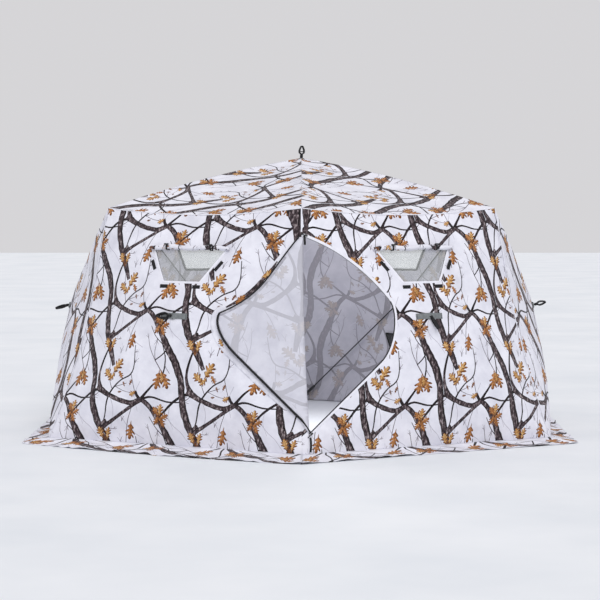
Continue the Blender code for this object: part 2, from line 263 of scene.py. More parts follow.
def webbing_material(name, dark, light, pitch=0.0022):
    shader = Shader(name, sheen_weight=0.12, specular_ior_level=0.35)
    where = shader.coordinates(source="Object")
    shader.colour(shader.ramp(shader.noise(where, 60.0), [(0.3, dark), (0.75, light)]))
    wave = shader.node(
        "ShaderNodeTexWave",
        {"wave_type": "BANDS", "bands_direction": "DIAGONAL"},
        Vector=where,
        Scale=0.314 / pitch,
        Distortion=1.0,
    )
    shader.rough(shader.noise(where, 40.0), 0.75, 0.95)
    shader.bump(wave.outputs["Fac"], 0.5, 0.0006)
    return shader.material


def plastic_material(name, colour, worn, low, high, scale=45.0, metallic=0.0):
    shader = Shader(name, metallic=metallic, specular_ior_level=0.5)
    where = shader.coordinates(source="Object")
    grain = shader.noise(where, scale, 5.0, 0.6)
    shader.colour(shader.ramp(grain, [(0.35, colour), (0.8, worn)]))
    shader.rough(grain, low, high)
    shader.bump(shader.noise(where, scale * 14.0), 0.15, 0.0003)
    return shader.material


def film_material():
    shader = Shader("window_film", alpha=0.21, specular_ior_level=0.6, coat_weight=0.25)
    where = shader.coordinates((1.0, 1.0, 1.0))
    haze = shader.noise(where, 5.0, 4.0)
    shader.colour(shader.ramp(haze, [(0.3, linear(176, 180, 178)), (0.7, linear(212, 216, 214))]))
    shader.rough(haze, 0.12, 0.3)
    shader.bump(shader.noise(where, 9.0, 2.0), 0.35, 0.006)
    return shader.material


BLACK_WEBBING = webbing_material("black_webbing", (0.004, 0.004, 0.005), (0.018, 0.018, 0.020))
ZIP_TAPE = webbing_material("zip_tape", (0.006, 0.006, 0.007), (0.022, 0.022, 0.024), 0.003)
PATCH_CLOTH = cloth_material("hub_patch", tones((104, 108, 110), (130, 134, 136)), 40.0, weave=0.6)
STITCHES = cloth_material("stitching", tones((70, 73, 75), (92, 95, 97)), 90.0, weave=0.8)
BINDING = cloth_material("white_binding", tones((222, 222, 232), (236, 236, 244)), 30.0)
HOOK_TAPE = plastic_material("hook_tape", (0.003, 0.003, 0.004), (0.012, 0.012, 0.014), 0.8, 0.95, 300.0)
# Dark band round each window inside: the inner hem, painted dark as its shade.
INNER_HEM_SHADE = webbing_material("inner_hem_shade", (0.012, 0.012, 0.013), (0.05, 0.05, 0.053), 0.003)
# Grey band under the flap's hollow edge: painted shade below its hem.
HEM_SHADE_CLOTH = cloth_material("door_hem_shade", tones((140, 139, 148), (196, 195, 204)), 26.0)
HUB_PLASTIC = plastic_material("hub_plastic", (0.012, 0.012, 0.013), (0.04, 0.04, 0.042), 0.35, 0.55)
ROD_FINISH = plastic_material("rod_fibreglass", (0.012, 0.012, 0.013), (0.03, 0.03, 0.032), 0.22, 0.4, 20.0)
SLIDER_METAL = plastic_material(
    "slider_metal", (0.03, 0.03, 0.032), (0.12, 0.12, 0.125), 0.25, 0.45, 90.0, 0.85
)
STEEL = plastic_material("pin_steel", (0.35, 0.35, 0.37), (0.5, 0.5, 0.52), 0.25, 0.4, 60.0, 1.0)
MESH_CLOTH = webbing_material("pocket_mesh", (0.02, 0.02, 0.022), (0.06, 0.06, 0.064), 0.004)
FILM = film_material()

# ---------------------------------------------------------------- the print


def smooth_path(points, step=PRINT_STEP):
    """Points along a Catmull-Rom curve through the given ones, about a step apart."""
    rows = [np.array(p, float) for p in points]
    rows = [2 * rows[0] - rows[1], *rows, 2 * rows[-1] - rows[-2]]
    path = []
    for a, b, c, d in zip(rows, rows[1:], rows[2:], rows[3:]):
        count = max(1, round(float(np.hypot(*(c - b)[:2])) / step))
        for k in range(count):
            t = k / count
            square, cube = 2 * a - 5 * b + 4 * c - d, 3 * b - a - 3 * c + d
            path.append(0.5 * (2 * b + (c - a) * t + square * t**2 + cube * t**3))
    path.append(rows[-2])
    return np.array(path)


def directions(rows):
    """Unit tangents of a flat path and the normals to their left."""
    tangent = np.gradient(rows, axis=0)
    tangent /= np.hypot(tangent[:, 0], tangent[:, 1])[:, None]
    return tangent, np.stack([-tangent[:, 1], tangent[:, 0]], 1)


def branch(points, seed, rough=0.12):
    """Outline of a branch. Each point is (across, up, width); the edges wander a little."""
    path = smooth_path(points)
    _, normal = directions(path[:, :2])
    sides = []
    for sign in (1, -1):
        wander = np.array([noise.noise((k * 0.9, seed * 7.3, sign * 3.1)) for k in range(len(path))])
        sides.append(path[:, :2] + sign * normal * (path[:, 2] / 2 * (1 + 2 * rough * wander))[:, None])
    return np.concatenate([sides[0], sides[1][::-1]])


# One side of an oak leaf, as (half width, distance along its rib) in shares of its length.
LEAF_SIDE = (
    (0.016, -0.56), (0.022, -0.40), (0.11, -0.33), (0.21, -0.25), (0.19, -0.17), (0.095, -0.16),
    (0.135, -0.08), (0.26, 0.00), (0.35, 0.10), (0.28, 0.135), (0.175, 0.085), (0.105, 0.075),
    (0.145, 0.15), (0.24, 0.23), (0.29, 0.33), (0.21, 0.335), (0.13, 0.28), (0.08, 0.28),
    (0.11, 0.37), (0.09, 0.45),
)
LEAF_RIB = ((-0.007, -0.60), (0.007, -0.60), (0.012, 0.0), (0.0, 0.42), (-0.012, 0.0))


def leaf(outline, centre, degrees, length, slim, curl=0.12):
    """An outline given in shares of a leaf's length, put at its place and bent a little sideways."""
    points = np.array(outline) * (slim / 0.42, 1.0)
    points[:, 0] += curl * points[:, 1] ** 2
    angle = math.radians(degrees)
    turn = np.array([[math.cos(angle), -math.sin(angle)], [math.sin(angle), math.cos(angle)]])
    return points @ turn.T * length + np.array(centre)


LEAF_OUTLINE = (*LEAF_SIDE, (0.0, 0.50), *[(-x, y) for x, y in reversed(LEAF_SIDE)])

# Branches of one repeat, as (across, up, width) in millimetres from its leaf cluster.
TRUNK = (
    (-165, 107, 30), (-98, 70, 36), (-40, 5, 40), (0, -50, 46), (55, -150, 54), (125, -260, 58),
    (168, -360, 56), (185, -450, 52), (192, -550, 52), (210, -650, 57), (255, -760, 55), (315, -870, 47),
    (365, -970, 30),
)
BRANCHES = (
    ((262, -485, 50), (235, -430, 30), (228, -350, 20), (255, -250, 17), (292, -170, 12)),
    (
        (225, -485, 26), (262, -492, 48), (335, -528, 36), (430, -562, 36), (530, -580, 34),
        (590, -566, 38), (622, -548, 30),
    ),
    ((262, -490, 26), (193, -508, 20), (120, -556, 18), (42, -628, 17), (-35, -700, 12)),
    ((235, -772, 30), (275, -738, 26), (312, -712, 22)),
    ((-160, 105, 24), (-65, 200, 14), (30, 284, 12), (52, 400, 9), (22, 510, 7)),
    ((-160, 106, 20), (-65, 126, 14), (65, 98, 12), (190, 100, 8)),
    ((-165, 100, 26), (-190, 132, 24), (-203, 164, 18)),
    ((-155, 102, 30), (-225, 62, 26), (-305, 12, 24), (-395, -45, 25), (-475, -94, 30), (-520, -130, 32)),
    (
        (255, -790, 7), (300, -690, 10), (325, -570, 12), (372, -490, 12), (450, -420, 10), (535, -375, 10),
        (566, -300, 8), (560, -160, 6),
    ),
    ((22, 510, 7), (-35, 560, 6), (-90, 640, 5)),
    ((60, -185, 10), (20, -225, 9), (-35, -265, 8)),
)
TWIGS = (
    ((-35, -262, 7), (0, -310, 7), (26, -350, 6)),
    ((-35, -262, 5), (-80, -180, 5), (-100, -110, 4)),
    ((-33, -262, 5), (-40, -200, 5), (-25, -130, 4)),
    ((372, -490, 6), (352, -440, 5), (335, -370, 5), (318, -250, 4)),
    ((540, -372, 5), (560, -455, 5), (580, -520, 5)),
    ((395, -470, 5), (450, -455, 4), (500, -440, 4)),
    ((400, -468, 4), (470, -495, 4), (545, -510, 3)),
    ((190, 100, 6), (245, 135, 5), (275, 190, 4)),
    ((120, 98, 5), (170, 132, 4), (230, 140, 3)),
    ((90, 300, 4), (50, 360, 4), (55, 430, 4)),
    ((300, -800, 5), (345, -770, 4), (372, -772, 3)),
    ((470, -210, 6), (500, -60, 5), (540, 40, 4)),
)
FAINT = (
    ((50, 0, 5), (120, -75, 5), (170, -110, 4), (245, -195, 4)),
    ((350, 120, 4), (378, 20, 5), (352, -110, 4)),
    ((450, -680, 5), (520, -770, 5), (630, -830, 4)),
    ((100, -560, 4), (78, -660, 4), (110, -750, 3)),
    ((620, -420, 4), (572, -520, 4), (590, -640, 3)),
)
# Sprays of small twigs: across, up, direction in degrees, length.
SPRAYS = (
    (566, -300, 62, 75), (564, -215, 20, 45), (190, 100, 8, 70), (-100, -110, 112, 55),
    (318, -250, 100, 50), (545, -510, -12, 45), (22, 510, 60, 60), (420, -880, 80, 80), (450, -715, 70, 60),
    (-20, -760, 250, 70), (372, -772, 18, 40),
)
# Leaves of one repeat: across, up, direction in degrees, length, slimness, ink.
LEAVES = (
    (-24, 22, 42, 88, 0.46, "leaf_orange"),
    (36, -12, -62, 84, 0.44, "leaf_orange"),
    (-26, -38, 146, 80, 0.42, "leaf_orange"),
    (18, -48, -152, 82, 0.42, "leaf_orange"),
    (8, 36, -6, 88, 0.46, "leaf"),
    (262, -148, 22, 88, 0.52, "leaf"),
    (322, -150, -14, 92, 0.38, "leaf"),
    (296, -192, 184, 50, 0.4, "leaf"),
    (412, -318, -36, 138, 0.4, "leaf"),
    (366, -398, 132, 88, 0.36, "leaf"),
    (322, -376, 48, 96, 0.5, "leaf"),
    (446, -378, -148, 70, 0.4, "leaf_orange"),
    (-6, -408, 164, 140, 0.4, "leaf_orange"),
    (54, -404, 200, 132, 0.4, "leaf_orange"),
    (28, -382, 186, 90, 0.3, "leaf"),
    (520, -125, 166, 128, 0.4, "leaf_orange"),
    (476, -448, 20, 42, 0.3, "leaf"),
    (536, -432, -30, 55, 0.3, "leaf"),
    (440, -505, 100, 36, 0.34, "leaf"),
    (552, -512, 118, 62, 0.5, "leaf"),
)


def print_motif(stretch):
    """One repeat of the print: a list of (ink number, outline), later ones on top."""
    shapes = []

    def draw(ink, outline):
        shapes.append((INKS.index(ink), outline))

    def placed(points):
        return [(x * stretch / 1000, y / 1000, w / 1000) for x, y, w in points]

    for i, points in enumerate(FAINT):
        draw("faint", branch(placed(points), 60 + i, 0.05))
    for i, points in enumerate(TWIGS):
        draw("twig", branch(placed(points), 40 + i, 0.05))
    for i, (x, y, degrees, length) in enumerate(SPRAYS):
        for k, (turn, share) in enumerate(((-34, 0.55), (-12, 0.8), (9, 1.0), (30, 0.65))):
            tip = polar(length * share, degrees + turn)
            knee = polar(0.5 * length * share, degrees + 0.4 * turn)
            twig = ((x, y, 4), (x + knee.x, y + knee.y, 3.5), (x + tip.x, y + tip.y, 2.2))
            draw("twig" if k % 2 else "faint", branch(placed(twig), 90 + 5 * i + k, 0.05))
    limbs = [*BRANCHES, TRUNK]
    for i, points in enumerate(limbs):
        draw("bark_edge", branch(placed(points), i))
    for i, points in enumerate(limbs):
        inner = [(x - 0.06 * w, y, 0.66 * w) for x, y, w in placed(points) if w > THIN_BRANCH]
        if len(inner) > 2:
            draw("bark", branch(inner, 20 + i, 0.35))
    for x, y, degrees, length, slim, ink in LEAVES:
        length /= 1000
        x, y = x * stretch / 1000, y / 1000
        draw("leaf_edge", leaf(LEAF_OUTLINE, (x, y), degrees, length, slim))
        if length > SMALL_LEAF:
            middle = (x - 0.03 * length, y + 0.03 * length)
            draw(ink, leaf(LEAF_OUTLINE, middle, degrees, 0.86 * length, 0.72 * slim))
            draw("leaf_edge", leaf(LEAF_RIB, (x, y), degrees, length, slim))
    return shapes


MOTIFS = {}


def printed(outline, phase, width=PLAIN_WIDTH, turn=0.0):
    """The repeats of the print that reach an outline's box, in a chart's own coordinates."""
    if width not in MOTIFS:
        MOTIFS[width] = print_motif(width / PRINT_WIDTH)
    low, high = outline.min(axis=0), outline.max(axis=0)
    angle = math.radians(turn)
    spin = np.array([[math.cos(angle), -math.sin(angle)], [math.sin(angle), math.cos(angle)]])
    corners = np.array([(x, y) for x in (low[0], high[0]) for y in (low[1], high[1])]) @ spin
    least = (corners.min(axis=0) - phase) / (width, PRINT_HEIGHT)
    most = (corners.max(axis=0) - phase) / (width, PRINT_HEIGHT)
    columns = range(math.floor(least[0]) - 1, math.ceil(most[0]) + 2)
    rows = range(math.floor(least[1]) - 1, math.ceil(most[1]) + 3)
    shapes = []
    for ink, outline in MOTIFS[width]:
        for j in rows:
            for i in columns:
                placed = (outline + np.array([phase[0] + i * width, phase[1] + j * PRINT_HEIGHT])) @ spin.T
                if (placed.max(axis=0) > low).all() and (placed.min(axis=0) < high).all():
                    shapes.append((ink, placed))
    return shapes


def contains(outline, points):
    """Whether each point lies inside the outline, by its winding number."""
    a = outline
    b = np.roll(outline, -1, axis=0)
    x, y = points[:, 0][:, None], points[:, 1][:, None]
    side = (b[:, 0] - a[:, 0]) * (y - a[:, 1]) - (x - a[:, 0]) * (b[:, 1] - a[:, 1])
    up = (a[:, 1] <= y) & (b[:, 1] > y) & (side > 0)
    down = (a[:, 1] > y) & (b[:, 1] <= y) & (side < 0)
    return (up.sum(axis=1) - down.sum(axis=1)) != 0


def cut_sheet(outline, holes, shapes, grid=GRID_STEP):
    """Flat triangles that fill the outline but for its holes, each with the number of its ink."""
    low, high = outline.min(axis=0), outline.max(axis=0)
    points, edges = [], []
    for loop in [outline, *holes, *[shape for _, shape in shapes]]:
        start = len(points)
        points += [Vector(p) for p in loop]
        edges += [(start + k, start + (k + 1) % len(loop)) for k in range(len(loop))]
    across = np.arange(low[0] + grid / 2, high[0], grid)
    upwards = np.arange(low[1] + grid / 2, high[1], grid * 0.87)
    for row, v in enumerate(upwards):
        points += [Vector((u + (row % 2) * grid / 2, v)) for u in across]
    flat, _, faces, _, _, _ = delaunay_2d_cdt(points, edges, [], 0, 1e-5, True)
    flat = np.array([(p.x, p.y) for p in flat])
    faces = np.array([f for f in faces if len(f) == 3])
    middles = flat[faces].mean(axis=1)
    keep = contains(outline, middles)
    for hole in holes:
        keep &= ~contains(hole, middles)
    faces, middles = faces[keep], middles[keep]
    inks = np.zeros(len(faces), int)
    for ink, shape in shapes:
        least, most = shape.min(axis=0), shape.max(axis=0)
        near = np.nonzero(((middles >= least) & (middles <= most)).all(axis=1))[0]
        if len(near):
            inks[near[contains(shape, middles[near])]] = ink
    used, index = np.unique(faces, return_inverse=True)
    return flat[used], index.reshape(-1, 3), inks


# ---------------------------------------------------------------- mesh pieces


def new_piece(name, points, faces, materials, inks=None, uv=None, smooth=True):
    """A mesh piece, with the chart's coordinates as its UV map if they are given."""
    mesh = bpy.data.meshes.new(name)
    mesh.from_pydata([tuple(map(float, p)) for p in points], [], [tuple(map(int, f)) for f in faces])
    for material in materials:
        mesh.materials.append(material)
    if inks is not None:
        mesh.polygons.foreach_set("material_index", np.asarray(inks, np.int32))
    if uv is not None:
        layer = mesh.uv_layers.new(name="UVMap")
        corners = np.empty(len(mesh.loops), np.int32)
        mesh.loops.foreach_get("vertex_index", corners)
        layer.data.foreach_set("uv", np.asarray(uv, np.float32)[corners].ravel())
    mesh.update()
    if smooth:
        mesh.shade_smooth()
    obj = bpy.data.objects.new(name, mesh)
    bpy.context.scene.collection.objects.link(obj)
    return obj


def solidify(obj, thickness, offset=-1.0, material_offset=0):
    made = obj.modifiers.new("Thickness", "SOLIDIFY")
    made.thickness = thickness
    made.offset = offset
    made.material_offset = material_offset
    made.use_even_offset = False
    return obj


def sweep(path, sides, section, closed=False):
    """Points, faces and UVs of a section carried along a path. The section is (along side, along normal)."""
    path = np.array(path, float)
    tangent = np.roll(path, -1, 0) - np.roll(path, 1, 0) if closed else np.gradient(path, axis=0)
    tangent /= np.linalg.norm(tangent, axis=1)[:, None]
    side = np.broadcast_to(np.array(sides, float), path.shape)
    side = side - (side * tangent).sum(axis=1)[:, None] * tangent
    side = side / np.linalg.norm(side, axis=1)[:, None]
    normal = np.cross(side, tangent)
    rings = [path[:, None] + side[:, None] * a + normal[:, None] * b for a, b in section]
    points = np.concatenate(rings, axis=1).reshape(-1, 3)
    count, width = len(path), len(section)
    faces = []
    for i in range(count if closed else count - 1):
        j = (i + 1) % count
        for k in range(width):
            following = (k + 1) % width
            faces.append((i * width + k, i * width + following, j * width + following, j * width + k))
    if not closed:
        faces += [tuple(range(width))[::-1], tuple((count - 1) * width + k for k in range(width))]
    run = np.concatenate([[0.0], np.cumsum(np.linalg.norm(np.diff(path, axis=0), axis=1))])
    uv = [(run[i], section[k][0]) for i in range(count) for k in range(width)]
    return points, faces, uv


def flat_section(width, thickness):
    half = width / 2
    return (
        (-half, 0.0), (half, 0.0), (half, 0.7 * thickness), (0.86 * half, thickness),
        (-0.86 * half, thickness), (-half, 0.7 * thickness),
    )


def round_section(radius, steps=8):
    angles = [2 * math.pi * k / steps for k in range(steps)]
    return [(radius * math.cos(angle), radius * math.sin(angle)) for angle in angles]


class Trim:
    """Several swept or turned shapes gathered in one piece."""

    def __init__(self, name):
        self.name = name
        self.points, self.faces, self.inks, self.uv, self.materials = [], [], [], [], []

    def add(self, shape, material):
        points, faces, uv = shape
        start = len(self.points)
        if material not in self.materials:
            self.materials.append(material)
        self.points += list(points)
        self.uv += list(uv)
        self.faces += [tuple(start + k for k in face) for face in faces]
        self.inks += [self.materials.index(material)] * len(faces)

    def strip(self, path, sides, width, thickness, material, closed=False):
        self.add(sweep(path, sides, flat_section(width, thickness), closed), material)

    def turned(self, place, profile, material, steps=14):
        """A shape turned about the Z axis of a placement. The profile is (radius, height) from end to end."""
        points = [place @ Vector((x, y, z)) for r, z in profile for x, y in round_section(r, steps)]
        faces = [tuple(range(steps))[::-1], tuple((len(profile) - 1) * steps + k for k in range(steps))]
        for ring in range(len(profile) - 1):
            for k in range(steps):
                a, b = ring * steps + k, ring * steps + (k + 1) % steps
                faces.append((a, b, b + steps, a + steps))
        uv = [(0.01 * k, z) for _, z in profile for k in range(steps)]
        self.add((points, faces, uv), material)

    def finish(self, slot=None, body=None):
        """The piece, which rides a body if one is given."""
        obj = new_piece(self.name, self.points, self.faces, self.materials, self.inks, self.uv)
        obj.data.set_sharp_from_angle(angle=math.radians(38))
        if body:
            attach(obj, body)
        return obj


def placed_at(origin, z_axis, x_axis):
    """A placement with the given Z axis and an X axis as near to the given one as it can be."""
    z = Vector(z_axis).normalized()
    x = Vector(x_axis) - Vector(x_axis).dot(z) * z
    x.normalize()
    place = Matrix((x, z.cross(x), z)).transposed().to_4x4()
    place.translation = origin
    return place


def sheet_piece(name, chart, outline, holes, shapes, fronts, backs, grid=GRID_STEP):
    """A printed sheet on a chart, with its front materials outside and its back ones inside."""
    flat, faces, inks = cut_sheet(outline, holes, shapes, grid)
    points = [chart(u, v) for u, v in flat]
    a, b, c = (Vector(points[k]) for k in faces[len(faces) // 2])
    if (b - a).cross(c - a).dot(chart.outwards) < 0:
        faces = faces[:, ::-1]
    obj = new_piece(name, points, faces, [*fronts, *backs], inks, flat)
    return solidify(obj, CLOTH, -1.0, len(fronts))


def fold_noise(u, v, seed, size=0.32):
    """Soft unevenness of stretched cloth, from -1 to 1."""
    broad = noise.noise((u / size, v / size, seed))
    fine = noise.noise((u / size * 2.7 + 5.0, v / size * 1.9, seed + 11.0))
    return 0.7 * broad + 0.3 * fine


# How far the bent rods push the fabric out, below and above the hub, and the seams pull a corner in.
LOWER_BOW = 0.048
UPPER_BOW = 0.014
CORNER_PULL = 0.040
# How far the ridges over the rods are rounded, the facets between them sag and the cloth waves.
RIDGE_ROUNDING = 0.006
RIDGE_WIDTH = 0.05
FACET_SAG = 0.018
WALL_WAVES = 0.0085
# How far the foot of a corner stands out past its rod, for the corners that do so more than the rest.
FOOT_KICK = {210.0: 0.060, 330.0: 0.024}


def soft_step(t):
    t = min(1.0, max(0.0, t))
    return t * t * (3.0 - 2.0 * t)


def spaced(start, end, count):
    """Points from a start up to but without its end."""
    return [start + (end - start) * t for t in np.linspace(0, 1, count, endpoint=False)]


def unit(flat):
    return flat / np.hypot(*flat)


class WallChart:
    """A wall seen flat: u along its foot from its middle, v up the wall, and out to its pyramid."""

    def __init__(self, name):
        self.name = name
        self.facing = WALLS[name]
        start = polar(BASE_RADIUS, self.facing - 30.0)
        end = polar(BASE_RADIUS, self.facing + 30.0)
        top_start = polar(EAVE_RADIUS, self.facing - 30.0, EAVE_HEIGHT)
        top_end = polar(EAVE_RADIUS, self.facing + 30.0, EAVE_HEIGHT)
        self.origin = (start + end) / 2
        self.across = (end - start).normalized()
        self.up = ((top_start + top_end) / 2 - self.origin).normalized()
        self.outwards = self.across.cross(self.up)
        self.corners = [self.flat(p) for p in (start, end, top_end, top_start)]
        self.peak = hub_peak(name)
        self.hub = self.flat(self.peak)
        self.bulge = (self.peak - self.origin).dot(self.outwards)
        self.top = self.corners[2][1]

    def flat(self, point):
        offset = Vector(point) - self.origin
        return np.array([offset.dot(self.across), offset.dot(self.up)])

    def ratios(self, u, v):
        """Distance from the foot, end, eave and start sides, each 0 on the side and 1 at the hub."""
        found = []
        for a, b in zip(self.corners, self.corners[1:] + self.corners[:1]):
            side = b - a
            reach = side[0] * (self.hub[1] - a[1]) - side[1] * (self.hub[0] - a[0])
            found.append((side[0] * (v - a[1]) - side[1] * (u - a[0])) / reach)
        return found

    def __call__(self, u, v, lift=0.0):
        ratios = self.ratios(u, v)
        low, following = sorted(ratios)[:2]
        spread = following - low
        rounded = low - RIDGE_ROUNDING * math.exp(-((spread / RIDGE_WIDTH) ** 2))
        inside = min(1.0, max(0.0, low))
        sag = FACET_SAG * inside * min(1.0, spread / 0.9) * (1.0 - inside)
        calm = min(1.0, inside * 5.0) * min(1.0, (1.0 - inside) * 4.0)
        waves = WALL_WAVES * fold_noise(u, v, self.facing) * calm
        height = self.bulge * rounded - sag + waves + self.bow(v, inside, ratios) + lift
        place = self.origin + self.across * u + self.up * v + self.outwards * height
        for turn, ratio in ((30.0, ratios[1]), (-30.0, ratios[3])):
            shift = self.corner_shift(self.facing + turn, v / self.top) * max(0.0, 1.0 - ratio) ** 2
            place += polar(shift, self.facing + turn)
        return place

    def bow(self, v, inside, ratios):
        """How far the bent rods push the fabric out. The facets beside the door stay flat."""
        above = soft_step((v - self.hub[1]) / 0.7 + 0.5)
        bow = LOWER_BOW + (UPPER_BOW - LOWER_BOW) * above
        door_side = {"front_left": ratios[1], "front_right": ratios[3]}.get(self.name)
        if door_side is not None:
            bow *= soft_step((door_side - 0.72) / 0.5)
        return bow * math.sin(math.pi * inside**0.8)

    def corner_shift(self, degrees, rise):
        """A corner's seam kicks out at its foot, where it is staked, and is pulled in above."""
        degrees %= 360.0
        if degrees == 270.0:
            return 0.0
        kick = FOOT_KICK.get(degrees, 0.02) * max(0.0, 1.0 - rise / 0.55) ** 2
        return kick - CORNER_PULL * math.sin(math.pi * min(1.0, max(0.0, rise))) ** 1.3

    def rim(self):
        """The wall's outline: straight foot and sides, and the eave that hangs between its corners."""
        start, end, top_end, top_start = self.corners
        foot = FOOT_HEIGHT / EAVE_HEIGHT
        start, end = start + (top_start - start) * foot, end + (top_end - end) * foot
        eave = [self.eave(t) for t in np.linspace(1, 0, 30, endpoint=False)]
        sides = spaced(end, top_end, 26), spaced(top_start, start, 26)
        return np.array([*spaced(start, end, 30), *sides[0], *eave, *sides[1]])

    def eave(self, t):
        """A point of the eave, from its start at 0 to its end at 1."""
        top_end, top_start = self.corners[2], self.corners[3]
        return top_start + (top_end - top_start) * t - np.array([0.0, EAVE_SAG * 4 * t * (1 - t)])

    def left_of(self, direction):
        """The direction in space that lies to the left of a flat one."""
        return self.across * -direction[1] + self.up * direction[0]


def hub_peak(name):
    """Top of a hub's cap, where the fabric is pulled out furthest."""
    axis = Vector(next(j["axis"] for j in frame["joints"] if j["name"] == name + "_hub_pop"))
    side = axis.cross(Vector((0.0, 1.0, 0.0)) if abs(axis.y) < 0.8 else Vector((1.0, 0.0, 0.0))).normalized()
    other = axis.cross(side)
    points = np.array([v.co for v in frame["nodes"]["hub_" + name].data.vertices])
    place = axis * float((points @ np.array(axis)).max())
    for direction in (side, other):
        reach = points @ np.array(direction)
        place += direction * float((reach.max() + reach.min()) / 2)
    return place


CHARTS = {name: WallChart(name) for name in WALLS}


def circle(middle, radius, steps=20):
    angles = np.linspace(0, 2 * math.pi, steps, endpoint=False)
    return np.array(middle) + radius * np.stack([np.cos(angles), np.sin(angles)], 1)


def add_walls():
    for name in WALLS:
        chart = CHARTS[name]
        outline = chart.rim()
        holes = [circle(chart.hub, HUB_HOLE)]
        if name in WINDOW_WALLS:
            holes.append(window_corners(chart))
        if name == "front_right":
            holes.append(np.array([chart.flat(p) for p in door_edge()]))
        phase, width = PHASES.get(name, ((0.0, 0.2), PLAIN_WIDTH))
        shapes = printed(outline, phase, width)
        shapes += corner_limb(chart)
        wall = sheet_piece("wall_fabric_" + name, chart, outline, holes, shapes, OUTSIDE_CLOTH, INSIDE_SHADED_CLOTH)
        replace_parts(wall, "wall_" + name)
        bend(wall, name)


# The limb under the eave at the front corner, as (out from the corner, down from the eave, width).
CORNER_LIMB = (
    (0.005, 0.300, 0.020), (0.012, 0.215, 0.036), (0.030, 0.120, 0.060),
    (0.050, 0.050, 0.095), (0.066, -0.010, 0.130),
)


def corner_limb(chart):
    """A limb of the print that the front corner's seam cuts through, under the eave."""
    side = {"front_left": -1, "front_right": 1}.get(chart.name)
    if side is None:
        return []
    corner = chart.corners[2] if side < 0 else chart.corners[3]
    wide = 1.0 if side < 0 else 0.62
    rows = [(corner[0] + side * x * wide, corner[1] - y, w * wide) for x, y, w in CORNER_LIMB]
    inner = [(x, y, 0.74 * w) for x, y, w in rows]
    return [(INKS.index("bark_edge"), branch(rows, 71)), (INKS.index("bark"), branch(inner, 72, 0.3))]


PHASES = {
    "front_left": ((-0.10, 0.24), 0.78),
    "front_right": ((-0.09, 0.22), 0.64),
}


def bend(obj, name):
    """Bakes a wall piece's placement into its mesh and works out each point's share from the rim to the hub;
    the piece is not moved by it.
    """
    chart = CHARTS[name]
    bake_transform(obj)
    straighten(obj, lambda point: min(chart.ratios(*chart.flat(point))))


def straighten(obj, share):
    """Works out each point's share from the rim to the hub, the even share by which the straight rods follow
    the hub; the piece is not moved by it.
    """
    shares = [share(vertex.co) for vertex in obj.data.vertices]


# ---------------------------------------------------------------- windows

WINDOW_TOP = 0.335
WINDOW_BOTTOM = 0.602
WINDOW_TOP_HALF = 0.315
WINDOW_BOTTOM_HALF = 0.150
COVER_LENGTH = 0.165
# The middle of the rolled-up cover: down from the eave's middle and out from the wall.
ROLL_PLACE = WINDOW_TOP - 0.004
ROLL_LIFT = 0.0205
TOGGLE_PLACES = (-0.185, 0.190)
TOGGLE_RING = 0.0225
SIDE_STRIP_HALF = 0.042
LOW_STRIP_HALF = 0.032
TOGGLE_BAR = (
    (0.0028, 0.0), (0.0056, 0.002), (0.0062, 0.012), (0.0046, 0.019),
    (0.0062, 0.026), (0.0056, 0.036), (0.0028, 0.038),
)


def window_place(chart, u, down):
    """Flat place of a point of the window, down from the eave's middle along the upper facet."""
    facet = (chart.peak - (chart.origin + chart.up * chart.top)).length
    return np.array([u, chart.top + (chart.hub[1] - chart.top) * down / facet])


def window_corners(chart, margin=0.0):
    return np.array(
        [
            window_place(chart, -WINDOW_TOP_HALF - margin, WINDOW_TOP - margin),
            window_place(chart, WINDOW_TOP_HALF + margin, WINDOW_TOP - margin),
            window_place(chart, WINDOW_BOTTOM_HALF + margin, WINDOW_BOTTOM + margin),
            window_place(chart, -WINDOW_BOTTOM_HALF - margin, WINDOW_BOTTOM + margin),
        ]
    )[::-1]


class Offset:
    """A wall's surface moved out by a distance, with finer waves of its own."""

    def __init__(self, chart, lift, waves=0.0, size=0.11):
        self.chart, self.lift, self.waves, self.size = chart, lift, waves, size
        self.outwards = chart.outwards

    def __call__(self, u, v):
        wave = fold_noise(u * 0.6, v * 1.6, 4.0 + self.chart.facing, self.size)
        return self.chart(u, v, self.lift + self.waves * wave)


class RollChart:
    """A rolled-up window cover: u along the top of the window, v round the roll."""

    RADIUS = 0.0165
    GROWTH = 0.0011

    def __init__(self, chart):
        self.chart = chart
        self.outwards = chart.outwards

    def __call__(self, u, v):
        angle = v / self.RADIUS
        radius = self.RADIUS + self.GROWTH * angle / (2 * math.pi)
        radius *= 1 + 0.20 * noise.noise((u * 15.0, angle * 0.4, self.chart.facing))
        radius *= 1 - 0.45 * soft_step((abs(u) - 0.27) / 0.08)
        flat = window_place(self.chart, u, ROLL_PLACE)
        droop = 0.004 * math.sin(u * 19.0 + self.chart.facing) + 0.004 * noise.noise((u * 9.0, 1.0, 6.0))
        middle = self.chart(flat[0], flat[1] - droop, ROLL_LIFT)
        middle += self.chart.up * radius * math.cos(angle)
        middle += self.chart.outwards * radius * math.sin(angle)
        return middle


def add_windows():
    for name in WINDOW_WALLS:
        chart = CHARTS[name]
        outline = window_corners(chart, 0.014)
        inside = Offset(chart, -0.0045, 0.0035)
        film = sheet_piece("film_" + name, inside, outline, [], [], [FILM], [FILM], 0.02)
        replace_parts(film, "window_film_" + name)
        bend(film, name)
        reach = np.linspace(-WINDOW_TOP_HALF - 0.030, WINDOW_TOP_HALF + 0.030, 60)
        outline = np.array([(u, 0.0) for u in reach] + [(u, COVER_LENGTH) for u in reach[::-1]])
        shapes = printed(outline, (0.11, 0.33))
        cover = "window_cover_" + name
        roll = sheet_piece(cover, RollChart(chart), outline, [], shapes, OUTSIDE_CLOTH, OUTSIDE_CLOTH, 0.012)
        bend(roll, name)
        add_window_trim(chart, name)


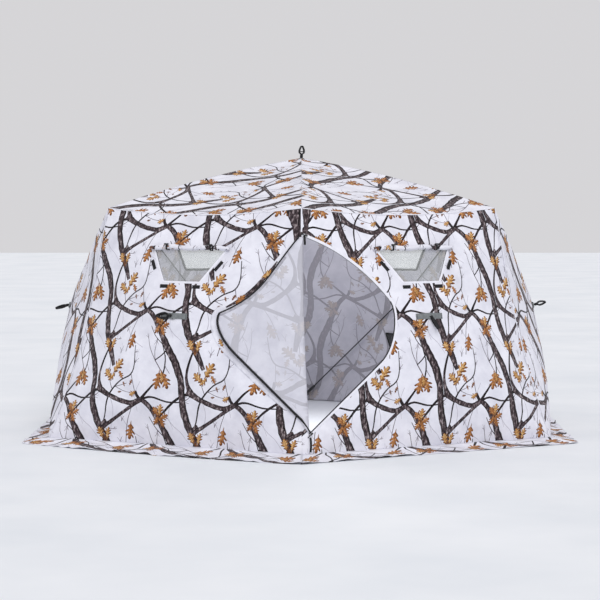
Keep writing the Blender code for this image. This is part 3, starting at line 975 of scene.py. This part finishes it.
def add_window_trim(chart, name):
    """Toggles round the roll, hook strips beside the window and the hems of its opening, the inner one painted
    dark as shade.
    """
    trim = Trim("window_trim_" + name)
    add_toggles(trim, chart)
    add_hook_strips(trim, chart)
    add_window_hems(trim, chart)
    bend(trim.finish(), name)


def add_toggles(trim, chart):
    """A webbing ring round the roll at each toggle's place, with the toggle's bar across its front."""
    for u in TOGGLE_PLACES:
        middle = chart(*window_place(chart, u, ROLL_PLACE), ROLL_LIFT)
        ring = [middle + chart.up * a + chart.outwards * b for a, b in round_section(TOGGLE_RING, 18)]
        trim.strip(ring, chart.across, 0.013, 0.0022, BLACK_WEBBING, True)
        end = middle + chart.outwards * 0.024 + chart.up * 0.019 - chart.across * 0.019
        trim.turned(placed_at(end, chart.across, chart.up), TOGGLE_BAR, HUB_PLASTIC)


def add_hook_strips(trim, chart):
    """Hook tape on the wall: one strip beside each slanting side of the window and two below it."""
    bottom_left, bottom_right, top_right, top_left = window_corners(chart)
    along = np.array([1.0, 0.0])
    spots = [
        ((top_left + bottom_left) / 2 + (-0.048, -0.004), bottom_left - top_left, SIDE_STRIP_HALF),
        ((top_right + bottom_right) / 2 + (0.048, -0.004), bottom_right - top_right, SIDE_STRIP_HALF),
        (bottom_left + (0.010, -0.040), along, LOW_STRIP_HALF),
        (bottom_right + (-0.012, -0.040), along, LOW_STRIP_HALF),
    ]
    for spot, direction, half in spots:
        direction = unit(direction)
        path = [chart(*(spot + direction * t), 0.0015) for t in np.linspace(-half, half, 7)]
        trim.strip(path, -chart.left_of(direction), 0.027, 0.0022, HOOK_TAPE)


def add_window_hems(trim, chart):
    """A crumpled dark band round the window inside, its inner hem painted dark as shade, and a white hem round
    it outside.
    """
    inner = window_corners(chart, 0.010)
    for a, b in zip(inner, np.roll(inner, -1, axis=0)):
        side = unit(b - a)
        path = []
        for t in np.linspace(0, 1, 40):
            place = a + (b - a) * t
            crumple = 0.004 * noise.noise((t * 13.0, a[0] * 9.0, chart.facing)) * min(1.0, 8 * t * (1 - t))
            path.append(chart(place[0] - crumple * side[1], place[1] + crumple * side[0], -0.0085 + crumple))
        trim.strip(path, chart.left_of(side), 0.018, 0.0022, INNER_HEM_SHADE)
    outer = window_corners(chart, 0.007)
    for a, b in zip(outer, np.roll(outer, -1, axis=0)):
        path = [chart(*(a + (b - a) * t), 0.0006) for t in np.linspace(0, 1, 16)]
        trim.strip(path, -chart.left_of(unit(b - a)), 0.016, 0.0016, BINDING)


# ---------------------------------------------------------------- hubs

LOOP_WIDTH = 0.025
LOOP_NECK = 0.030
PATCH_HALF = 0.112
LOOP_KNOT = (
    (0.006, 0.0), (0.0115, 0.003), (0.0125, 0.008), (0.0098, 0.0115),
    (0.0122, 0.015), (0.0105, 0.020), (0.005, 0.023),
)
# Turned shapes, as (radius, height): the roof hub's patch, a pin's head and a rod's cup.
ROOF_PATCH = (
    (0.004, 0.0036), (0.024, -0.0036), (0.050, -0.0112),
    (0.0505, -0.0128), (0.024, -0.0056), (0.004, 0.0016),
)
PIN_HEAD = ((0.0012, -0.0092), (0.0026, -0.0090), (0.0026, -0.0076), (0.0014, -0.0074))
ROD_CUP = (
    (0.0150, -0.052), (0.0172, -0.0515), (0.0176, -0.010), (0.0130, 0.004), (0.004, 0.0062),
    (0.003, 0.0035), (0.0115, 0.002), (0.0156, -0.010), (0.0150, -0.052),
)


def loop_path(base, along, across, length, height, steps=26):
    """A strap that leaves its base as a narrow neck and comes back round an open drop."""
    path = []
    for k in range(steps):
        t = k / steps
        reach = 0.5 - 0.5 * math.cos(2 * math.pi * t)
        open_part = max(0.0, (reach * length - LOOP_NECK) / (length - LOOP_NECK))
        width = 0.0022 + (height / 2) * math.sin(math.pi * min(1.0, open_part**0.6)) ** 0.8
        spread = math.copysign(width, 0.5 - t)
        if k == 0 or open_part >= 1.0:
            spread = 0.0
        path.append(base + along * reach * length + across * spread)
    return path


def add_pull_loop(name, base, along, across, tilt, length, height, keeper=None):
    """A webbing loop with a knot at its foot. The strap's width lies along tilt."""
    along, across = along.normalized(), (across - across.dot(along) * along).normalized()
    trim = Trim("webbing_loop_" + name)
    path = loop_path(base, along, across, length, height)
    trim.strip(path, tilt, LOOP_WIDTH, 0.0050, BLACK_WEBBING, True)
    trim.turned(placed_at(base + along * 0.007, along, across), LOOP_KNOT, BLACK_WEBBING, 12)
    if keeper is not None:
        middle = base + along * keeper * length
        ends = [middle + across * height * t for t in (-0.46, -0.2, 0.2, 0.46)]
        trim.strip(ends, tilt, 0.016, 0.006, BLACK_WEBBING)
    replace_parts(trim.finish("black_webbing", name + "_hub"), "pull_loop_" + name)


def loop_way(name, chart):
    """How a wall hub's loop hangs: its direction, the side it opens to, its strap's tilt and its size."""
    out, up, across = chart.outwards, chart.up, chart.across
    ways = {
        "front_left": (-across + out * 0.08 - up * 0.05, up, out + up * 0.75, 0.128, 0.036),
        "front_right": (-up + across * 0.42 + out * 0.18, out, across + up * 0.3, 0.112, 0.014),
        "left": (out * 0.95 - up * 0.50, up, across * 0.8 + up * 0.7, 0.112, 0.012),
        "right": (out + up * 0.02, up, across + up * 0.45, 0.100, 0.027),
    }
    return ways.get(name, (-up + out * 0.22, out, across, 0.110, 0.020))


def add_wall_hub_trim(name, chart):
    """The pull loop of a wall's hub, and the stitched patch that reinforces the fabric over it."""
    out, up, across = chart.outwards, chart.up, chart.across
    along, side, tilt, length, height = loop_way(name, chart)
    add_pull_loop(name, chart.peak + out * 0.004, along, side, tilt, length, height)
    patch = Trim("hub_patch_" + name)
    reach = np.linspace(-PATCH_HALF, PATCH_HALF, 23)
    crown = 0.0028 + 0.003 * np.exp(-((reach / 0.03) ** 2))
    path = [chart(chart.hub[0] + u, chart.hub[1], lift) for u, lift in zip(reach, crown)]
    patch.strip(path, -up, 0.043, 0.0018, PATCH_CLOTH)
    for end in (0.008 - PATCH_HALF, PATCH_HALF - 0.008):
        bar = [chart(chart.hub[0] + end, chart.hub[1] + t, 0.0046) for t in (-0.018, 0.0, 0.018)]
        patch.strip(bar, across, 0.003, 0.0010, STITCHES)
    bend(patch.finish(), name)


def add_roof_hub_trim():
    """The roof hub's loop with its keeper, and the round patch under it."""
    up = Vector((0.0, 0.0, 1.0))
    top = hub_peak("roof")
    along, side = up + Vector((0.05, 0.0, 0.0)), Vector((1.0, 0.35, 0.0))
    add_pull_loop("roof", top + up * 0.003, along, side, Vector((-0.6, 1.0, 0.0)), 0.092, 0.032, 0.56)
    patch = Trim("hub_patch_roof")
    patch.turned(placed_at(top, up, (1.0, 0.0, 0.0)), ROOF_PATCH, PATCH_CLOTH, 28)
    patch.finish("black_webbing", "roof_hub")


def add_pins():
    """A steel pin through each rod's heel, and the fabric cups that hold the rods' far ends."""
    cups = Trim("rod_cups")
    pins = {}
    for joint in frame["joints"]:
        if not joint["name"].endswith("_rod_fold"):
            continue
        pivot, axis = Vector(joint["pos_m"]), Vector(joint["axis"])
        hub = joint["parent"]
        pin = pins.setdefault(hub, Trim("pivot_pins_" + hub))
        profile = (*PIN_HEAD, *[(r, -z) for r, z in reversed(PIN_HEAD)])
        pin.turned(placed_at(pivot, axis, axis.orthogonal()), profile, STEEL, 10)
        rod = np.array([v.co for v in frame["nodes"][joint["child"]].data.vertices])
        far = Vector(rod[np.argsort(np.linalg.norm(rod - np.array(pivot), axis=1))[-10:]].mean(axis=0))
        along = (far - pivot).normalized()
        cups.turned(placed_at(far, along, axis), ROD_CUP, BLACK_WEBBING, 12)
    for hub, pin in pins.items():
        pin.finish("black_metal", hub)
    cups.finish("black_webbing", "shell")


# ---------------------------------------------------------------- the door

DOOR_LOW = Vector((0.13, 0.0))
DOOR_LOW_END = Vector((0.72, 0.59))
DOOR_SIDE = Vector((1.19, 0.65))
DOOR_HIGH = Vector((1.61, 0.0))
DOOR_HANDLES = (Vector((0.833, 0.703)), Vector((1.10, 0.73)))
DOOR_ARC_RADIUS = 1.34
# The wall's cut edge stays this far behind the door's fold.
HEM_STEP = 0.002


def front_facet(side):
    """Frame of the facet beside the front corner's edge: X up the edge, Y away from it, Z square to both."""
    foot = polar(BASE_RADIUS, -90.0)
    up = (polar(EAVE_RADIUS, -90.0, EAVE_HEIGHT) - foot).normalized()
    peak = hub_peak("front_right" if side > 0 else "front_left")
    square = up.cross(peak - foot).normalized()
    place = Matrix((up, square.cross(up), square)).transposed().to_4x4()
    place.translation = foot
    return place


def cubic(a, b, c, d, shares):
    return [(1 - t) ** 3 * a + 3 * (1 - t) ** 2 * t * b + 3 * (1 - t) * t**2 * c + t**3 * d for t in shares]


def door_outline(steps=14):
    """The door's edge in the facet's frame: lower edge, rounded side corner and upper arc."""
    shares = [k / steps for k in range(steps + 1)]
    lower = [DOOR_LOW.lerp(DOOR_LOW_END, t) for t in shares[:-1]]
    side = cubic(DOOR_LOW_END, *DOOR_HANDLES, DOOR_SIDE, shares)
    chord = DOOR_SIDE - DOOR_HIGH
    away = Vector((-chord.y, chord.x)).normalized()
    centre = (DOOR_HIGH + DOOR_SIDE) / 2 + away * math.sqrt(DOOR_ARC_RADIUS**2 - (chord.length / 2) ** 2)
    high, low = DOOR_HIGH - centre, DOOR_SIDE - centre
    start, end = math.atan2(high.y, high.x), math.atan2(low.y, low.x)
    arc = []
    for t in shares[1:]:
        angle = end + (start - end) * t
        arc.append(centre + DOOR_ARC_RADIUS * Vector((math.cos(angle), math.sin(angle))))
    return [*lower, *side, *arc]


def fold_line(height):
    """How far from the corner's edge the door's fold lies, which grows towards the foot."""
    return 0.012 + FLAP_SWING * max(0.0, 1.0 - height / FLAP_TOP.x) ** 2.2


def clipped(outline):
    """The outline with the part between the corner's edge and the door's fold cut off."""
    kept = []
    for here, following in zip(outline, outline[1:]):
        near, far = here.y + HEM_STEP - fold_line(here.x), following.y + HEM_STEP - fold_line(following.x)
        if near >= 0:
            kept.append(here)
        if (near < 0) != (far < 0):
            kept.append(here.lerp(following, near / (near - far)))
    return kept


def door_edge():
    """The door opening as points of the right front facet."""
    place = front_facet(1)
    edge = clipped(door_outline())
    for height in np.linspace(edge[-1].x, edge[0].x, 10)[1:-1]:
        edge.append(Vector((height, fold_line(height) - HEM_STEP)))
    return [place @ Vector((p.x, p.y, 0.0)) for p in edge]


FLAP_START = 0.015
FLAP_TOP = Vector((1.600, 0.020))
FLAP_CORNER = Vector((1.075, 0.612))
FLAP_HOLLOW = 0.070
# The flap's cloth turns from here, past the corner's edge, to here, where it lies flat on the wall.
FOLD_START = 0.014
FLAP_HINGE = 0.022
FLAP_SWING = 0.062
FLAP_TIP = Vector((0.190, -0.012))
FLAP_LOW = Vector((0.283, 0.012))
FLAP_LOW_END = Vector((0.76, 0.485))
FLAP_HANDLES = (Vector((0.90, 0.625)), Vector((1.02, 0.650)))
FLAP_WAVES = 0.0042
PLACKET_ENDS = 0.008
PLACKET_BELLY = 0.046


def flap_outline(steps=14):
    """The folded flap's edge, up and away from the corner: lower edge, side corner, hollow upper edge."""
    shares = [k / steps for k in range(steps + 1)]
    lower = [FLAP_TIP, *[FLAP_LOW.lerp(FLAP_LOW_END, t) for t in shares[:-1]]]
    side = cubic(FLAP_LOW_END, *FLAP_HANDLES, FLAP_CORNER, shares)
    chord = FLAP_TOP - FLAP_CORNER
    inwards = Vector((-chord.y, chord.x)).normalized()
    if inwards.y > 0:
        inwards = -inwards
    depths = [FLAP_HOLLOW * math.sin(math.pi * (1 - t) ** 1.4) for t in shares[1:]]
    hollow = [FLAP_CORNER + chord * t + inwards * depth for t, depth in zip(shares[1:], depths)]
    return lower, side, hollow


class FlapChart:
    """The folded door flap: u is minus the distance from the corner's edge and v runs up that edge."""

    def __init__(self):
        mesh = frame["nodes"]["door_flap"].data
        joint = next(j for j in frame["joints"] if j["name"] == "door_flap_fold")
        largest = max((p for p in mesh.polygons if p.normal.y < 0), key=lambda p: p.area)
        self.up = Vector(joint["axis"])
        self.outwards = largest.normal.copy()
        self.across = self.up.cross(self.outwards).normalized()
        self.foot = polar(BASE_RADIUS, -90.0)
        near = max((mesh.vertices[i].co for i in largest.vertices), key=lambda p: p.dot(self.across))
        gap = near - self.foot
        self.origin = self.foot + self.outwards * gap.dot(self.outwards)
        self.origin += self.across * (gap.dot(self.across) + FLAP_START)

    def __call__(self, u, v, lift=0.0):
        calm = min(1.0, max(0.0, -u) * 8.0)
        waves = FLAP_WAVES * fold_noise(u * 0.8 + v * 0.35, v * 0.8, 31.0, 0.22) * calm
        if u <= -FLAP_HINGE:
            return self.origin + self.across * u + self.up * v + self.outwards * (0.001 + waves + lift)
        t = (u - FOLD_START) / (-FLAP_HINGE - FOLD_START)
        hem = front_facet(1) @ Vector((v, fold_line(v), 0.0)) + Vector((0.0, -0.0045, 0.0))
        front = self.foot + self.up * v + Vector((-0.002, -0.024, 0.0))
        side = self.origin - self.across * FLAP_HINGE + self.up * v + self.outwards * 0.001
        return (1 - t) ** 2 * hem + 2 * t * (1 - t) * front + t * t * side + self.outwards * lift

    def edge(self, points, inset=0.0, lift=0.0):
        """The flap's edge in space, moved in by an inset."""
        rows = np.array([(-p.y, p.x) for p in points])
        tangent, normal = directions(rows)
        rows = rows - normal * inset
        sides = [self.across * t[1] - self.up * t[0] for t in tangent]
        return [self(u, v, lift) for u, v in rows], sides


def add_flap():
    chart = FlapChart()
    lower, side, hollow = flap_outline()
    around = [*lower, *side, *hollow]
    fold = [Vector((s, -FOLD_START)) for s in np.linspace(FLAP_TOP.x + 0.005, FLAP_TIP.x + 0.004, 60)]
    outline = np.array([(-p.y, p.x) for p in [*around, *fold]])
    mirror = np.array([-1.0, 1.0])
    shapes = printed(outline * mirror, (0.26, 0.42), turn=-12.0)
    shapes = [(ink, shape * mirror) for ink, shape in shapes]
    flap = sheet_piece("door_flap_fabric", chart, outline, [], shapes, REVERSE_CLOTH, OUTSIDE_CLOTH)
    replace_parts(flap, "door_flap")
    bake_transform(flap)
    trim = Trim("door_flap_zip")
    path, sides = chart.edge([*lower, *side], 0.004, 0.0012)
    trim.strip(path, sides, 0.017, 0.0028, ZIP_TAPE)
    path, sides = chart.edge([side[-1], *hollow], 0.001, 0.0005)
    trim.add(sweep(path, sides, round_section(0.0058)), ZIP_TAPE)
    # A grey band just inside the hollow edge: painted shade below the hem.
    path, sides = chart.edge([side[-1], *hollow[:11]], 0.014, 0.0004)
    trim.strip(path, sides, 0.022, 0.0008, HEM_SHADE_CLOTH)
    trim.finish("black_webbing", "door_flap")


# The print on the placket: a limb as (point of its middle line, width) and leaves as
# (point of its middle line, direction in degrees, length, slimness, ink).
PLACKET_LIMB = ((27, 0.012), (29, 0.030), (31, 0.034), (34, 0.026), (36, 0.010))
PLACKET_LEAVES = (
    (29, -38.0, 0.105, 0.42, "leaf_edge"),
    (29, -38.0, 0.092, 0.30, "leaf_orange"),
    (34, -60.0, 0.110, 0.44, "leaf_edge"),
    (34, -60.0, 0.096, 0.32, "leaf"),
    (16, 30.0, 0.070, 0.36, "leaf_edge"),
    (16, 30.0, 0.060, 0.26, "leaf"),
)


def add_placket():
    """The cover strip sewn on the left front wall, just outside the folded flap's edge."""
    wall = CHARTS["front_left"]
    facet = front_facet(-1)
    lower, side, hollow = flap_outline()
    around = [*lower[3:], *side, *hollow[:-1]]
    rows = np.array([(p.x, p.y) for p in around])
    _, away = directions(rows)
    wide = (PLACKET_ENDS + PLACKET_BELLY * np.sin(np.linspace(0, np.pi, len(rows))) ** 0.35)[:, None]
    ring = np.concatenate([rows - away * 0.02, (rows + away * wide)[::-1]])
    outline = np.array([wall.flat(facet @ Vector((a, b, 0.0))) for a, b in ring])
    middle = [tuple(wall.flat(facet @ Vector((a, b, 0.0)))) for a, b in rows + away * wide / 2]
    limb = [(*middle[k], width) for k, width in PLACKET_LIMB]
    shapes = [(INKS.index("bark_edge"), branch(limb, 81))]
    shapes.append((INKS.index("bark"), branch([(x, y, 0.7 * w) for x, y, w in limb], 82, 0.3)))
    for k, degrees, length, slim, ink in PLACKET_LEAVES:
        shapes.append((INKS.index(ink), leaf(LEAF_OUTLINE, middle[k], degrees, length, slim)))
    above = Offset(wall, 0.0030, 0.0012)
    strip = sheet_piece("door_placket", above, outline, [], shapes, OUTSIDE_CLOTH, OUTSIDE_CLOTH, 0.03)
    bend(strip, "front_left")


def add_door_trim():
    """Zip tape and hem round the opening."""
    wall = CHARTS["front_right"]
    facet = front_facet(1)
    rows = np.array([(p.x, p.y) for p in clipped(door_outline())])
    _, away = directions(rows)
    trim = Trim("door_hem")

    def along_edge(first, last, offset, width, lift, thickness, material):
        part = slice(first, last)
        moved = rows[part] + away[part] * offset
        flats = [wall.flat(facet @ Vector((a, b, 0.0))) for a, b in moved]
        sides = [facet.to_3x3() @ Vector((a, b, 0.0)) for a, b in away[part]]
        trim.strip([wall(u, v, lift) for u, v in flats], sides, width, thickness, material)

    # The row of the opening's side corner, where the two zips meet.
    corner = 27
    along_edge(0, len(rows), 0.0125, 0.020, 0.0004, 0.0016, BINDING)
    along_edge(0, corner, 0.0020, 0.0085, 0.0008, 0.0026, ZIP_TAPE)
    along_edge(corner - 1, len(rows), 0.0010, 0.0040, -0.0020, 0.0024, PATCH_CLOTH)
    bend(trim.finish(), "front_right")


def add_slider_pulls():
    """Webbing pulls that hang from the two zip sliders."""
    down = -(front_facet(1).col[0].xyz)
    for slider, drop, reach in (("zip_slider_upper", 0.012, 0.070), ("zip_slider_lower", 0.006, 0.105)):
        low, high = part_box(slider)
        start = Vector(((low[0] + high[0]) / 2, low[1] - 0.001, low[2] + drop))
        steps = np.linspace(0, reach, 12)
        path = [start + down * t + Vector((0.004 * math.sin(30 * t), -0.002, 0.0)) for t in steps]
        pull = Trim("pull_tape_" + slider.split("_")[-1])
        pull.strip(path, (1.0, 0.0, 0.0), 0.015, 0.0022, BLACK_WEBBING)
        pull.finish("black_webbing", slider)


# ---------------------------------------------------------------- seams and pocket


ABOVE_DOOR = 0.098
CORNER_SECTION = (
    (-0.005, -0.0026), (-0.0048, -0.0012), (-0.002, 0.0010), (0.0, 0.0016),
    (0.002, 0.0010), (0.0048, -0.0012), (0.005, -0.0026), (0.0, -0.0008),
)
EAVE_SECTION = ((-0.002, -0.003), (0.0022, -0.004), (0.0030, 0.0), (0.0015, 0.0022), (-0.004, 0.0022))
RIM_SECTION = ((-0.004, -0.006), (0.004, -0.006), (0.004, 0.006), (-0.004, 0.006))


def add_seams():
    """Binding along the six corners and along the eave."""
    names = list(WALLS)
    for name, following in zip(names, names[1:] + names[:1]):
        chart, other = CHARTS[name], CHARTS[following]
        trim = Trim("corner_binding_" + name)
        start, end = chart.corners[1], chart.corners[2]
        if name == "front_left":
            start = end - (end - start) * ABOVE_DOOR
        path = [chart(*(start + (end - start) * t)) for t in np.linspace(0.012, 0.998, 60)]
        out = (chart.outwards + other.outwards).normalized()
        side = out.cross(chart.up).normalized()
        trim.add(sweep(path, side, CORNER_SECTION), BINDING)
        eave = [chart(*chart.eave(t)) + Vector((0.0, 0.0, 0.0012)) for t in np.linspace(0.004, 0.996, 50)]
        trim.add(sweep(eave, chart.outwards, EAVE_SECTION), BINDING)
        trim.finish("white_fabric", "shell")


POCKET_RISE = 0.045
POCKET_DROP = 0.050
POCKET_WIDEN = 0.045
POCKET_DEPTH = 0.030


def add_pocket():
    """The mesh pocket inside: a pouch that bellies out, with a taped rim."""
    mesh = frame["nodes"]["inner_pocket"].data
    middle = sum((v.co for v in mesh.vertices), Vector()) / len(mesh.vertices)
    inner = max((p for p in mesh.polygons if p.normal.dot(middle) < 0), key=lambda p: p.area)
    face = (p for p in mesh.polygons if p.normal.dot(inner.normal) > 0.99)
    corners = {tuple(mesh.vertices[i].co) for polygon in face for i in polygon.vertices}
    corners = sorted(corners, key=lambda p: p[2])
    wall = CHARTS["back_right"]
    low = sorted((wall.flat(p) for p in corners[:2]), key=lambda p: p[0])
    high = sorted((wall.flat(p) for p in corners[-2:]), key=lambda p: p[0])
    for side, widen in ((0, -POCKET_WIDEN), (1, POCKET_WIDEN)):
        low[side] += (0.5 * widen, -POCKET_DROP)
        high[side] += (widen, POCKET_RISE)
    steps = 16
    points, uv = [], []
    for j in range(steps + 1):
        for i in range(steps + 1):
            a, b = i / steps, j / steps
            flat = (low[0] * (1 - a) + low[1] * a) * (1 - b) + (high[0] * (1 - a) + high[1] * a) * b
            belly = POCKET_DEPTH * math.sin(math.pi * a) ** 0.7
            belly *= math.sin(math.pi * min(1.0, b * 0.62 + 0.02))
            points.append(wall(flat[0], flat[1], -0.012 - belly + 0.002 * noise.noise((a * 5, b * 5, 2.0))))
            uv.append((a * 0.34, b * 0.24))
    row = steps + 1
    starts = [j * row + i for j in range(steps) for i in range(steps)]
    faces = [(k, k + row, k + row + 1, k + 1) for k in starts]
    pouch = new_piece("mesh_pocket", points, faces, [MESH_CLOTH], None, uv)
    solidify(pouch, 0.0012, 0.0)
    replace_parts(pouch, "inner_pocket")
    bend(pouch, "back_right")
    rim = Trim("pocket_binding")
    last = row * row - 1
    border = [*range(steps), *range(steps, last, row)]
    border += [*range(last, last - steps, -1), *range(steps * row, 0, -row)]
    path = [points[k] - wall.outwards * 0.002 for k in border]
    rim.add(sweep(path, wall.outwards, RIM_SECTION, True), BLACK_WEBBING)
    bend(rim.finish(), "back_right")


# ---------------------------------------------------------------- roof and skirt

ROOF_BOW = 0.034
ROOF_WAVES = 0.006
ROOF_PHASE = (0.03, 0.30)

class RoofChart:
    """One sixth of the roof: u along the eave from its middle, v up the slope to the apex."""

    def __init__(self, name):
        self.wall = CHARTS[name]
        facing = WALLS[name]
        self.half = EAVE_RADIUS / 2
        self.apex = Vector((0.0, 0.0, APEX_HEIGHT))
        middle = polar(EAVE_MIDDLE, facing, EAVE_HEIGHT)
        self.height = (self.apex - middle).length
        self.outwards = Vector((0.0, 0.0, 1.0))
        self.seed = facing

    def __call__(self, u, v, lift=0.0):
        rise = min(v / self.height, 0.999999)
        share = min(1.0, max(0.0, 0.5 + u / (2 * self.half * (1 - rise))))
        edge = self.wall.eave(share)
        point = self.wall(edge[0], edge[1]).lerp(self.apex, rise)
        between = 4 * share * (1 - share)
        bow = ROOF_BOW * 4 * rise * (1 - rise) * (1 - 0.55 * between)
        waves = ROOF_WAVES * fold_noise(u, v, self.seed)
        waves *= min(1.0, 3 * between) * min(1.0, 4 * rise * (1 - rise))
        return point + Vector((0.0, 0.0, bow + waves + lift + 0.001))

    def rim(self):
        start, end, top = np.array([[-self.half, 0.0], [self.half, 0.0], [0.0, self.height]])
        return np.array([*spaced(start, end, 30), *spaced(end, top, 24), *spaced(top, start, 24)])


def add_roof():
    for name in WALLS:
        chart = RoofChart(name)
        outline = chart.rim()
        cut = chart.height * (1 - HUB_HOLE / EAVE_MIDDLE)
        outline = np.array([p for p in outline if p[1] < cut - 0.02])
        tip = chart.half * (1 - cut / chart.height)
        top_right = np.argmax(outline[:, 1] + 1e-3 * outline[:, 0])
        outline = np.insert(outline, top_right + 1, [[tip, cut], [-tip, cut]], axis=0)
        shapes = printed(outline, ROOF_PHASE, turn=96.0)
        panel = sheet_piece("roof_fabric_" + name, chart, outline, [], shapes, OUTSIDE_CLOTH, INSIDE_SHADED_CLOTH)
        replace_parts(panel, "roof_canopy")
        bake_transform(panel)
        facing = polar(1.0 / EAVE_MIDDLE, WALLS[name])
        straighten(panel, lambda point: 1.0 - facing.dot(point))


# How far the skirt reaches from the foot of each wall, at its start corner, middle and end corner.
SKIRT_REACH = {
    "front_right": (0.24, 0.20, 0.19),
    "right": (0.19, 0.21, 0.22),
    "back_right": (0.22, 0.22, 0.22),
    "back_left": (0.22, 0.22, 0.22),
    "left": (0.22, 0.22, 0.185),
    "front_left": (0.185, 0.31, 0.24),
}
SEAM_HEIGHT = 0.035
SKIRT_WIDTH = 0.24
# How far the skirt's corners are pulled sideways for each step outwards, so that its panels meet.
CORNER_SPREAD = 0.577


class SkirtChart:
    """The skirt along one wall: u along the foot of the wall, v outwards over the ice."""

    def __init__(self, name):
        self.name = name
        self.wall = CHARTS[name]
        self.half = BASE_RADIUS / 2
        self.outwards = Vector((0.0, 0.0, 1.0))
        self.seed = WALLS[name]
        self.facing = polar(1.0, self.seed)

    def __call__(self, u, v, lift=0.0):
        share = v / SKIRT_WIDTH
        ripple = noise.noise((u * 5.2, share * 0.8, self.seed + 3.0))
        folds = noise.noise((u * 13.0, share * 1.5, self.seed + 9.0))
        height = SEAM_HEIGHT * (1 - min(1.0, share)) ** 2.2
        height += (0.012 + 0.026 * share) * max(0.0, 0.5 * ripple + 0.5 * folds + 0.12) * min(1.0, 3 * share)
        base = self.wall(u, SEAM_HEIGHT / EAVE_HEIGHT * self.wall.top)
        place = base + self.facing * v + self.wall.across * (u / self.half) * CORNER_SPREAD * v
        place.z = 0.0022 + height + lift
        return place

    def rim(self):
        reach = SKIRT_REACH[self.name]
        loop = [np.array([u, 0.0]) for u in np.linspace(-self.half, self.half, 40)]
        outer = []
        for u in np.linspace(self.half, -self.half, 46):
            t = 0.5 + u / (2 * self.half)
            wide = reach[0] * (1 - t) * (1 - 2 * t) + reach[1] * 4 * t * (1 - t) + reach[2] * t * (2 * t - 1)
            ragged = 0.016 * noise.noise((u * 6.0, 2.0, self.seed))
            ragged += 0.010 * noise.noise((u * 17.0, 5.0, self.seed))
            wide += ragged * min(1.0, 8 * t * (1 - t))
            outer.append(np.array([u, wide]))
        return np.array(loop + outer)


def add_skirt():
    for name in WALLS:
        chart = SkirtChart(name)
        outline = chart.rim()
        shapes = printed(outline, (0.1, 0.1), turn=90.0)
        panel = sheet_piece("skirt_fabric_" + name, chart, outline, [], shapes, OUTSIDE_CLOTH, OUTSIDE_CLOTH)
        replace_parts(panel, "snow_skirt")
        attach(panel, "shell")


def finish_cad():
    """The CAD nodes that stay in view get their finished materials."""
    finishes = {"hub_": HUB_PLASTIC, "rod_": ROD_FINISH, "zip_slider_": SLIDER_METAL}
    for name, node in frame["nodes"].items():
        for start, material in finishes.items():
            if name.startswith(start):
                for slot in node.material_slots:
                    slot.material = material


# ---------------------------------------------------------------- stage

CAMERA_PLACE = (-0.011, -15.862, 1.769)
CAMERA_DOWN = 2.711
CAMERA_LENS = 118.1
FLOOR_REACH = 60
SKY_COLOUR = (0.975, 0.965, 0.99, 1.0)
SKY_STRENGTH = 0.69
INSIDE_WATTS = 66.0


def add_stage():
    scene = bpy.context.scene
    camera = bpy.data.objects.new("camera", bpy.data.cameras.new("camera"))
    camera.data.lens = CAMERA_LENS
    camera.data.clip_end = 200.0
    camera.location = CAMERA_PLACE
    camera.rotation_euler = (math.radians(90.0 - CAMERA_DOWN), 0.0, 0.0)
    scene.collection.objects.link(camera)
    scene.camera = camera
    scene.view_settings.view_transform = "Standard"
    world = bpy.data.worlds.new("studio")
    world.use_nodes = True
    world.node_tree.nodes["Background"].inputs[0].default_value = SKY_COLOUR
    world.node_tree.nodes["Background"].inputs[1].default_value = SKY_STRENGTH
    scene.world = world
    corners = [(FLOOR_REACH * x, FLOOR_REACH * y, 0) for x, y in ((-1, -1), (1, -1), (1, 1), (-1, 1))]
    new_piece("floor", corners, [(0, 1, 2, 3)], [floor_material()])
    add_sun("key_light", (0.10, -0.78, 0.85), 1.4, 40.0)
    inside = bpy.data.objects.new("inside_light", bpy.data.lights.new("inside_light", "POINT"))
    inside.data.energy = INSIDE_WATTS
    inside.data.shadow_soft_size = 0.6
    inside.location = (0.0, 0.0, 1.2)
    scene.collection.objects.link(inside)


def add_sun(name, direction, energy, spread):
    sun = bpy.data.objects.new(name, bpy.data.lights.new(name, "SUN"))
    sun.data.energy = energy
    sun.data.angle = math.radians(spread)
    sun.rotation_euler = Vector(direction).to_track_quat("Z", "Y").to_euler()
    bpy.context.scene.collection.objects.link(sun)


def floor_material():
    shader = Shader("pale_floor", specular_ior_level=0.2)
    where = shader.coordinates(source="Object")
    tints = [(0.3, (0.76, 0.79, 0.83)), (0.7, (0.84, 0.86, 0.89))]
    shader.colour(shader.ramp(shader.noise(where, 0.8), tints))
    shader.rough(shader.noise(where, 2.0), 0.6, 0.8)
    return shader.material


def main():
    add_walls()
    add_roof()
    add_skirt()
    add_windows()
    for name, chart in CHARTS.items():
        add_wall_hub_trim(name, chart)
    add_roof_hub_trim()
    add_pins()
    add_flap()
    add_placket()
    add_door_trim()
    add_slider_pulls()
    add_seams()
    add_pocket()
    finish_cad()
    add_stage()


main()
